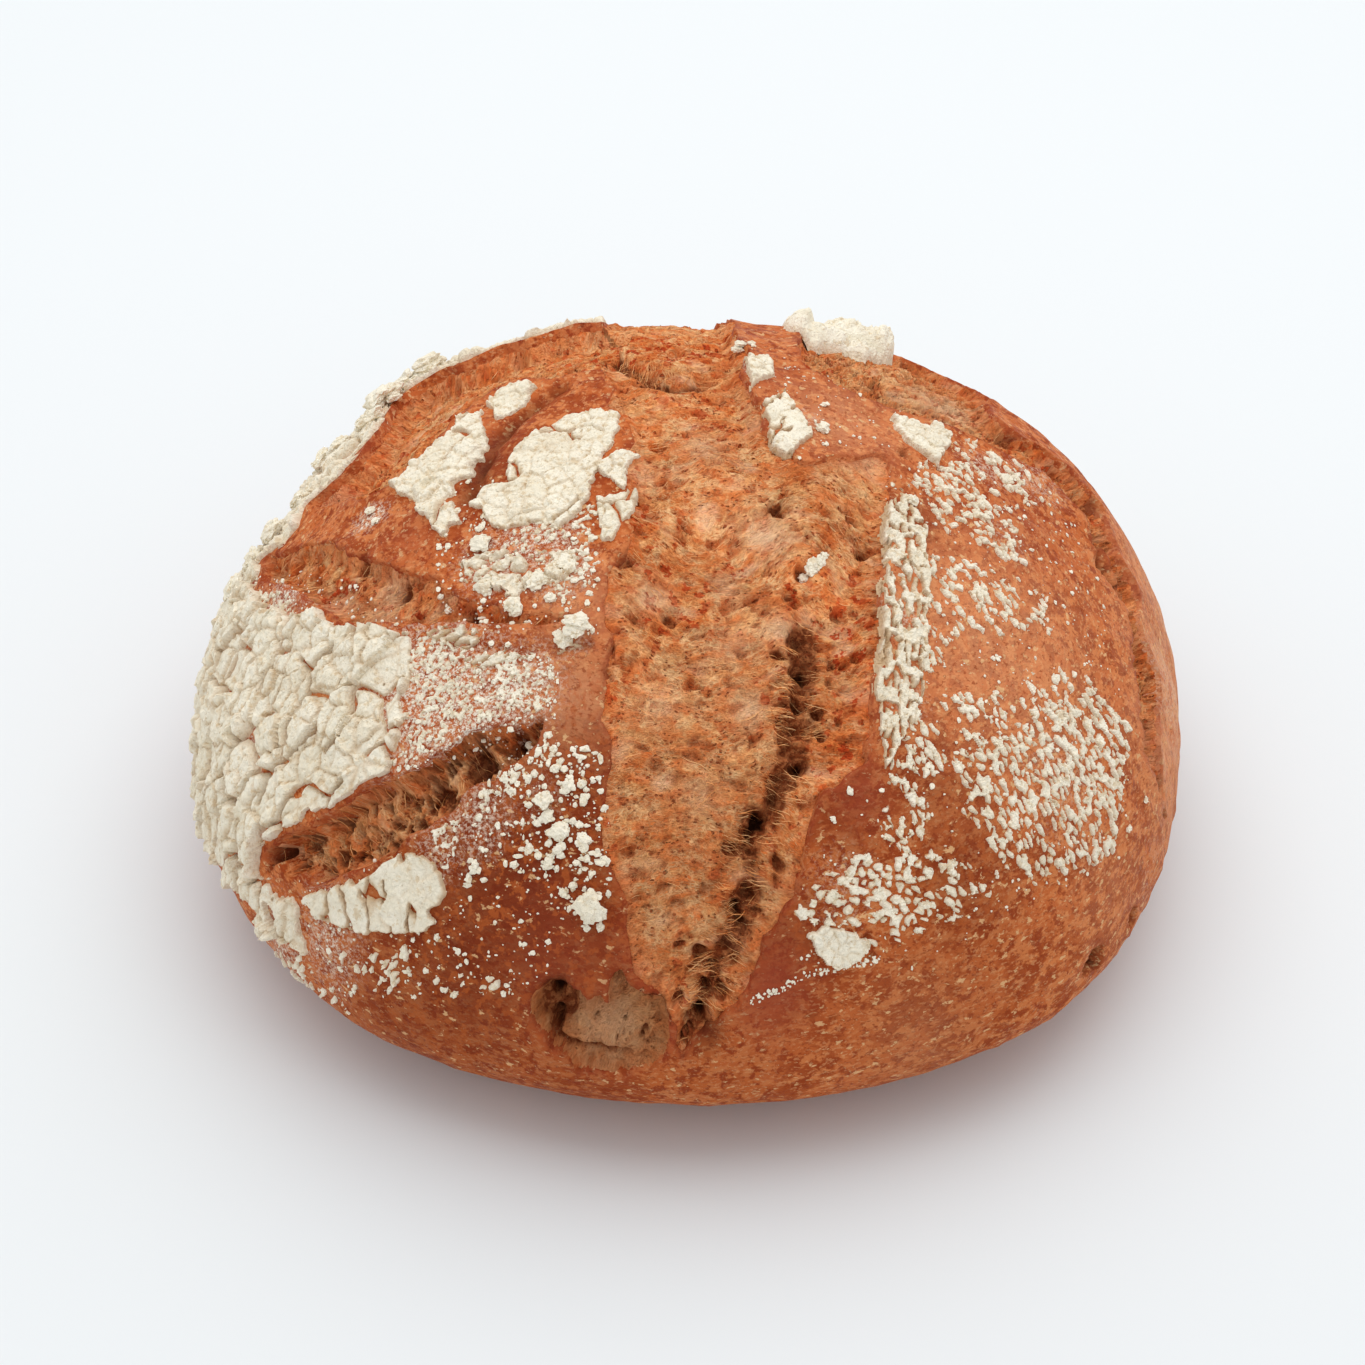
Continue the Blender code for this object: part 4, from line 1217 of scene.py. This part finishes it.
def lumps_at(places, radii, lifts, levels, draw, rough=0.50):
    """(points, faces, values) of rough lumps, lifted a little, that lie on the crust at places."""
    base, faces = ball(levels)
    middles, normals = skin(places)
    middles = raised(middles, normals, ground(places, middles) + 0.35 * radii + lifts)
    stretch = 1 + 0.3 * draw.normal(size=(len(places), 1, 3)).clip(-1.5, 1.5)
    shapes = base[None] * stretch
    origin = 9.1 * np.arange(len(places))[:, None, None]
    bumps = rough * noise(shapes + origin, 0.75) + 0.5 * rough * noise(shapes + origin, 0.33)
    shapes = shapes * (1 + bumps)[..., None] * radii[:, None, None]
    flat = (shapes * normals[:, None, :]).sum(2, keepdims=True) * normals[:, None, :]
    points = (middles[:, None, :] + shapes - 0.45 * flat).reshape(-1, 3)
    faces = (faces[None] + len(base) * np.arange(len(places))[:, None, None]).reshape(-1, 3)
    piece = np.repeat(draw.random(len(places)), len(base))
    return points, faces, {"thin_and_joint_shade": np.zeros(len(points)), "piece": piece}


def clumps(draw):
    """(places, radii, lifts) of the lumps that are heaped into the loose clumps."""
    places, radii, lifts = [], [], []
    for pixel, radius, count in CLUMPS:
        turn = 2 * math.pi * draw.random(count)
        out = 0.62 * radius * np.sqrt((np.arange(count) + 0.3) / count)
        places.append(seen(pixel) + out[:, None] * np.column_stack([np.cos(turn), np.sin(turn)]))
        radii.append(radius * (0.62 - 0.30 * out / radius) * (0.75 + 0.5 * draw.random(count)))
        lifts.append(0.45 * (0.62 * radius - out) + 0.0016 * (radius > 0.0028))
    return np.vstack(places), np.concatenate(radii), np.concatenate(lifts)


def loose_flour():
    """Clumps and grains of flour that lie loose on the crust. The larger ones are drawn more finely."""
    draw = np.random.default_rng(8)
    places, radii, lifts = clumps(draw)
    parts = []
    for taken, levels in ((radii > 0.0009, 2), (radii <= 0.0009, 1)):
        parts.append(lumps_at(places[taken], radii[taken], lifts[taken], levels, draw))
    points, faces, values = joined(parts)
    make_piece("flour_crumbs", points, faces, flour_material(), values, smooth=False)
    parts = []
    for outline, count, smallest, largest in STREWN:
        places = scattered(outline, count, draw)
        radii = smallest + (largest - smallest) * draw.random(len(places)) ** 3
        for taken, levels in ((radii > 0.00042, 1), (radii <= 0.00042, 0)):
            parts.append(lumps_at(places[taken], radii[taken], 0, levels, draw))
    points, faces, values = joined(parts)
    make_piece("flour_grains", points, faces, flour_material(), values, smooth=False)


# Materials


def new_material(name):
    """(material, node tree, its Principled shader)."""
    material = bpy.data.materials.new(name)
    material.use_nodes = True
    return material, material.node_tree, material.node_tree.nodes["Principled BSDF"]


def add(tree, kind, inputs=None, **settings):
    """A new node. Each input is a plain value or another node's output."""
    node = tree.nodes.new("ShaderNode" + kind)
    for key, value in settings.items():
        setattr(node, key, value)
    for key, value in (inputs or {}).items():
        if isinstance(value, bpy.types.NodeSocket):
            tree.links.new(value, node.inputs[key])
        else:
            node.inputs[key].default_value = value
    return node


def number_of(tree, name):
    """One of the numbers kept at the mesh's points."""
    return add(tree, "Attribute", attribute_name=name).outputs["Fac"]


def scaled_place(tree, scale=(1, 1, 1)):
    """The place in space, stretched by a scale for each axis."""
    place = add(tree, "TexCoord").outputs["Object"]
    return add(tree, "VectorMath", {0: place, 1: scale}, operation="MULTIPLY").outputs["Vector"]


def noise_value(tree, place, size, detail):
    """Plain noise with lumps of this size."""
    return add(tree, "TexNoise", {"Vector": place, "Scale": 1 / size, "Detail": detail}).outputs["Fac"]


def speckles(tree, place, size, low, high, detail=3.0, roughness=0.6):
    """Noise with lumps of this size, taken from 0 to 1 between its values low and high."""
    sockets = {"Vector": place, "Scale": 1 / size, "Detail": detail, "Roughness": roughness}
    texture = add(tree, "TexNoise", sockets)
    return spread(tree, texture.outputs["Fac"], low, high)


def spread(tree, value, low, high, bottom=0.0, top=1.0):
    """A value from between low and high as one from bottom to top, evenly eased."""
    sockets = {"Value": value, "From Min": low, "From Max": high, "To Min": bottom, "To Max": top}
    return add(tree, "MapRange", sockets, interpolation_type="SMOOTHSTEP").outputs["Result"]


def maths(tree, operation, first, second):
    """A sum, product or the like of two values."""
    return add(tree, "Math", {0: first, 1: second}, operation=operation, use_clamp=True).outputs["Value"]


def mixed(tree, share, under, over):
    """One colour laid over another by a share from 0 to 1."""
    sockets = {0: share, 6: rgba(under), 7: rgba(over)}
    return add(tree, "Mix", sockets, data_type="RGBA").outputs[2]


def rgba(colour):
    """A colour socket as it is, or three numbers as a colour."""
    return colour if isinstance(colour, bpy.types.NodeSocket) else (*colour, 1)


def layered(tree, colour, layers):
    """A colour with others laid over it in turn, each from (its share, how strongly, the colour)."""
    for share, strength, over in layers:
        colour = mixed(tree, maths(tree, "MULTIPLY", share, strength), colour, over)
    return colour


def bumped(tree, shader, layers):
    """Bumps on a shader from (height value, distance in metres) layers."""
    normal = None
    for height, distance in layers:
        sockets = {"Height": height, "Distance": distance, "Strength": 1.0}
        if normal is not None:
            sockets["Normal"] = normal
        normal = add(tree, "Bump", sockets).outputs["Normal"]
    tree.links.new(normal, shader.inputs["Normal"])


def fibre_lines(tree, place, length, width, turn, thickness, layer):
    """Fine bright lines, 1 on each, of this length and width, turned by an angle from the fibres' run."""
    sockets = {"Vector": place, "Angle": turn}
    place = add(tree, "VectorRotate", sockets, rotation_type="Z_AXIS").outputs["Vector"]
    sockets = {0: place, 1: (1 / length, 1 / width, 1), 2: (3.1 * layer, 5.7 * layer, layer)}
    place = add(tree, "VectorMath", sockets, operation="MULTIPLY_ADD").outputs["Vector"]
    texture = add(tree, "TexNoise", {"Vector": place, "Scale": 1.0, "Detail": 2.0, "Roughness": 0.5})
    off_middle = add(tree, "Math", {0: texture.outputs["Fac"], 1: 0.5}, operation="SUBTRACT").outputs["Value"]
    off_middle = add(tree, "Math", {0: off_middle}, operation="ABSOLUTE").outputs["Value"]
    return spread(tree, off_middle, 0.0, thickness, 1.0, 0.0)


def sponge_walls(tree, place, size, width):
    """Lines, 1 on each, between stretched cells of this size across."""
    place = add(tree, "VectorMath", {0: place, 1: (0.42, 1.0, 1.0)}, operation="MULTIPLY").outputs["Vector"]
    sockets = {"Vector": place, "Scale": 1 / size, "Randomness": 1.0}
    cells = add(tree, "TexVoronoi", sockets, voronoi_dimensions="2D", feature="DISTANCE_TO_EDGE")
    return spread(tree, cells.outputs["Distance"], 0.0, width, 1.0, 0.0)


def crust_material():
    """Browned crust: mottled red-brown with tan flecks, darker and paler zones, thin powder, and painted
    shade in its pits.
    """
    material, tree, shader = new_material("browned_crust")
    place = scaled_place(tree)
    wide = scaled_place(tree, (1, 1, 1.7))
    streak = scaled_place(tree, (1.6, 0.7, 0.7))
    pale, dark = number_of(tree, "pale"), number_of(tree, "dark")
    blush = maths(tree, "MULTIPLY", speckles(tree, streak, 0.0032, 0.50, 0.58, 4), pale)
    bits = maths(tree, "MULTIPLY", speckles(tree, place, 0.0024, 0.52, 0.60, 4), dark)
    dust = speckles(tree, place, 0.0009, 0.36, 0.66, 5, 0.75)
    powder = maths(tree, "MULTIPLY", dust, number_of(tree, "dust"))
    mottle = speckles(tree, place, 0.014, 0.44, 0.56)
    colour = mixed(tree, mottle, (0.54, 0.130, 0.032), (0.38, 0.072, 0.015))
    colour = layered(tree, colour, (
        (speckles(tree, wide, 0.0045, 0.48, 0.58), 1.0, (0.62, 0.19, 0.058)),
        (speckles(tree, place, 0.0034, 0.53, 0.60, 4), 1.0, (0.32, 0.052, 0.010)),
        (pale, 0.85, (0.80, 0.37, 0.18)),
        (blush, 0.85, (0.58, 0.150, 0.048)),
        (speckles(tree, wide, 0.0014, 0.54, 0.61, 4), 0.50, (0.74, 0.33, 0.14)),
        (speckles(tree, wide, 0.0013, 0.54, 0.64, 4), 0.65, (0.27, 0.042, 0.008)),
        (dark, 0.92, (0.165, 0.022, 0.005)),
        (bits, 0.7, (0.46, 0.105, 0.022)),
        (speckles(tree, wide, 0.0026, 0.61, 0.66, 4), 0.7, (0.82, 0.50, 0.24)),
        (number_of(tree, "purple"), 0.8, (0.31, 0.050, 0.021)),
        # Painted shade, deep brown in the ditches, holes and cavities.
        (number_of(tree, "pit_shade"), 1.0, (0.08, 0.016, 0.005)),
        (spread(tree, powder, 0.14, 0.50), 0.7, (0.68, 0.48, 0.36)),
        (spread(tree, powder, 0.50, 0.70), 0.9, (0.84, 0.76, 0.64)),
    ))
    tree.links.new(colour, shader.inputs["Base Color"])
    gloss = speckles(tree, place, 0.006, 0.3, 0.7)
    tree.links.new(spread(tree, gloss, 0, 1, 0.50, 0.72), shader.inputs["Roughness"])
    shader.inputs["Specular IOR Level"].default_value = 0.08
    coarse = noise_value(tree, wide, 0.0028, 3.0)
    fine = noise_value(tree, place, 0.0009, 4.0)
    bumped(tree, shader, ((coarse, 0.0008), (fine, 0.00040)))
    return material


def crumb_material():
    """Torn crumb: fine pale fibres partly brightened as painted highlight, films, orange crests, toasted
    places, and painted shade in its hollows and pores.
    """
    material, tree, shader = new_material("torn_crumb")
    place = scaled_place(tree)
    sockets = {"X": number_of(tree, "along"), "Y": number_of(tree, "across")}
    run = add(tree, "CombineXYZ", sockets).outputs["Vector"]
    stir = add(tree, "TexNoise", {"Vector": place, "Scale": 1 / 0.0016, "Detail": 3.0}).outputs["Color"]
    stir = add(tree, "VectorMath", {0: stir, 1: (0.5, 0.5, 0.5)}, operation="SUBTRACT").outputs["Vector"]
    sockets = {0: stir, 1: (0.0018, 0.0010, 0), 2: run}
    run = add(tree, "VectorMath", sockets, operation="MULTIPLY_ADD").outputs["Vector"]
    # Bright fibre lines: paler stretched crumb, partly painted highlight on the lit fibres.
    long_lines = fibre_lines(tree, run, 0.0048, 0.00080, 0.10, 0.06, 1)
    cross_lines = fibre_lines(tree, run, 0.0030, 0.00085, -0.35, 0.05, 2)
    wide_walls, fine_walls = sponge_walls(tree, run, 0.0014, 0.15), sponge_walls(tree, run, 0.00075, 0.17)
    walls = maths(tree, "MAXIMUM", wide_walls, fine_walls)
    lines = maths(tree, "MAXIMUM", long_lines, cross_lines)
    lines = maths(tree, "MAXIMUM", lines, maths(tree, "MULTIPLY", walls, 0.8))
    film = number_of(tree, "film")
    not_film = maths(tree, "SUBTRACT", 1.0, maths(tree, "MULTIPLY", film, 0.60))
    toast = maths(tree, "MULTIPLY", number_of(tree, "toast"), speckles(tree, place, 0.0050, 0.40, 0.58, 4))
    crests = maths(tree, "MULTIPLY", number_of(tree, "crests"), speckles(tree, place, 0.0060, 0.40, 0.50, 3))
    red = maths(tree, "MULTIPLY", speckles(tree, place, 0.0030, 0.56, 0.61, 3), number_of(tree, "toast"))
    # Small pores, which are coloured dark as painted shade.
    pore_place = add(tree, "VectorMath", {0: run, 1: (0.65, 1.10, 1)}, operation="MULTIPLY").outputs["Vector"]
    sockets = {"Vector": pore_place, "Scale": 1 / 0.0014, "Randomness": 1.0}
    pores = add(tree, "TexVoronoi", sockets, voronoi_dimensions="2D")
    pore = spread(tree, pores.outputs["Distance"], 0.16, 0.24, 1.0, 0.0)
    some = speckles(tree, place, 0.0030, 0.51, 0.59)
    pore = maths(tree, "MULTIPLY", maths(tree, "MULTIPLY", pore, some), not_film)
    depth = number_of(tree, "depth")
    under = mixed(tree, speckles(tree, place, 0.009, 0.42, 0.58), (0.70, 0.215, 0.057), (0.84, 0.355, 0.130))
    under = mixed(tree, toast, under, (0.60, 0.105, 0.020))
    # The bright colour of the fibre lines, partly painted highlight.
    over = mixed(tree, speckles(tree, place, 0.004, 0.42, 0.60), (1.0, 0.64, 0.32), (0.98, 0.50, 0.20))
    over = mixed(tree, maths(tree, "MULTIPLY", toast, 0.75), over, (0.92, 0.29, 0.070))
    # The mottled colour of painted shade in the deep places.
    mottle = speckles(tree, place, 0.0018, 0.46, 0.56, 4)
    deep_shade = mixed(tree, mottle, (0.21, 0.042, 0.011), (0.46, 0.150, 0.052))
    colour = layered(tree, under, (
        (film, 0.85, (0.98, 0.64, 0.40)),
        # Fibre lines in the bright colour, partly painted highlight.
        (lines, maths(tree, "MULTIPLY", not_film, 0.85), over),
        (crests, 0.75, (0.76, 0.170, 0.033)),
        # Painted shade in the pores.
        (pore, 0.85, (0.28, 0.050, 0.012)),
        (red, 0.9, (0.56, 0.055, 0.010)),
        (number_of(tree, "edge"), 0.45, (0.66, 0.120, 0.024)),
        # Painted shade in the hollows.
        (number_of(tree, "hollows"), 0.55, (0.44, 0.085, 0.020)),
        # Painted shade that dims the crumb.
        (number_of(tree, "crumb_shade"), 1.0, (0.36, 0.140, 0.050)),
        # Painted shade in the deep places, near black in the deepest.
        (spread(tree, depth, 0.24, 0.52), 0.90, deep_shade),
        # Painted shade in the open cells.
        (number_of(tree, "caves"), 0.85, (0.15, 0.045, 0.016)),
        (spread(tree, depth, 1.05, 1.70), 0.9, (0.035, 0.010, 0.004)),
    ))
    tree.links.new(colour, shader.inputs["Base Color"])
    shader.inputs["Roughness"].default_value = 0.75
    shader.inputs["Specular IOR Level"].default_value = 0.07
    shader.inputs["Subsurface Weight"].default_value = 0.05
    shader.inputs["Subsurface Radius"].default_value = (0.0020, 0.0010, 0.0005)
    shader.inputs["Subsurface Scale"].default_value = 1.0
    coarse = noise_value(tree, place, 0.0018, 3.0)
    bumped(tree, shader, ((coarse, 0.0006), (lines, 0.00024), (maths(tree, "SUBTRACT", 1.0, pore), 0.00040)))
    return material


def strand_material():
    """The fibres: pale to toasted orange."""
    material, tree, shader = new_material("crumb_fibre")
    colour = mixed(tree, number_of(tree, "tone"), (0.96, 0.58, 0.27), (0.88, 0.36, 0.11))
    place = scaled_place(tree)
    colour = mixed(tree, speckles(tree, place, 0.0020, 0.5, 0.62), colour, (0.72, 0.22, 0.055))
    tree.links.new(colour, shader.inputs["Base Color"])
    shader.inputs["Roughness"].default_value = 0.65
    shader.inputs["Specular IOR Level"].default_value = 0.12
    return material


def flour_material():
    """Dried flour: matte cream white, ochre in its cracks and where it has thinned out, ochre as painted
    shade in the joints between its knobs, and a fine grain.
    """
    material, tree, shader = new_material("dried_flour")
    place = scaled_place(tree)
    colour = mixed(tree, speckles(tree, place, 0.010, 0.40, 0.60), (0.97, 0.90, 0.745), (0.91, 0.83, 0.66))
    colour = layered(tree, colour, (
        (number_of(tree, "piece"), 0.25, (0.84, 0.75, 0.59)),
        (speckles(tree, place, 0.0020, 0.55, 0.64, 4), 1.0, (0.80, 0.67, 0.48)),
        # Ochre where the flour thins out, and painted shade in the joints between its knobs.
        (number_of(tree, "thin_and_joint_shade"), 0.85, (0.56, 0.34, 0.15)),
        (speckles(tree, place, 0.0008, 0.65, 0.71, 4), 0.6, (0.46, 0.32, 0.18)),
    ))
    tree.links.new(colour, shader.inputs["Base Color"])
    shader.inputs["Roughness"].default_value = 0.95
    shader.inputs["Specular IOR Level"].default_value = 0.06
    fine = noise_value(tree, place, 0.0006, 4.0)
    coarse = noise_value(tree, place, 0.0022, 3.0)
    bumped(tree, shader, ((coarse, 0.0008), (fine, 0.00055)))
    return material


# Stage, light and camera


def stage():
    """A plain pale floor."""
    bpy.ops.mesh.primitive_plane_add(size=6)
    floor = bpy.context.object
    floor.name = "floor"
    material, _, shader = new_material("pale_floor")
    shader.inputs["Base Color"].default_value = (0.80, 0.825, 0.835, 1)
    shader.inputs["Roughness"].default_value = 0.8
    shader.inputs["Specular IOR Level"].default_value = 0.1
    floor.data.materials.append(material)


def area_light(name, place, size, power):
    """A square soft light that faces the loaf."""
    light = bpy.data.lights.new(name, "AREA")
    light.size = size
    light.energy = power
    lamp = bpy.data.objects.new(name, light)
    bpy.context.scene.collection.objects.link(lamp)
    lamp.location = place
    lamp.rotation_mode = "QUATERNION"
    lamp.rotation_quaternion = (Vector(SIGHT_AIM) - Vector(place)).to_track_quat("-Z", "Y")


def lights():
    """A white surround and a large soft light above and a little behind."""
    world = bpy.data.worlds.new("surround")
    world.use_nodes = True
    world.node_tree.nodes["Background"].inputs["Color"].default_value = (0.97, 0.985, 1.0, 1)
    world.node_tree.nodes["Background"].inputs["Strength"].default_value = 0.80
    bpy.context.scene.world = world
    area_light("overhead", (0.05, 0.26, 1.15), 1.5, 8.2)
    bpy.context.scene.view_settings.view_transform = "Standard"


def camera():
    """The photograph's viewpoint."""
    back = Vector((0, -math.cos(SIGHT_RISE), math.sin(SIGHT_RISE)))
    view = bpy.data.cameras.new("camera")
    view.sensor_width = 36
    view.lens = view.sensor_width * PIXELS_PER_SLOPE / (2 * PICTURE_MIDDLE)
    eye = bpy.data.objects.new("camera", view)
    bpy.context.scene.collection.objects.link(eye)
    eye.location = Vector(SIGHT_AIM) + SIGHT_DISTANCE * back
    eye.rotation_mode = "QUATERNION"
    eye.rotation_quaternion = (-back).to_track_quat("-Z", "Y")
    bpy.context.scene.camera = eye


crust()
torn_crumb("crumb_main", [MAIN], 0.00046)
torn_crumb("crumb_back_left", [BACK_LEFT], 0.00046)
torn_crumb("crumb_left", [LEFT, SLASH, BLISTER], 0.00040)
torn_crumb("crumb_right", [RIGHT], 0.00050)
torn_crumb("crumb_hidden", [HIDDEN], 0.00060)
crumb_strands()
flour()
loose_flour()
stage()
lights()
camera()
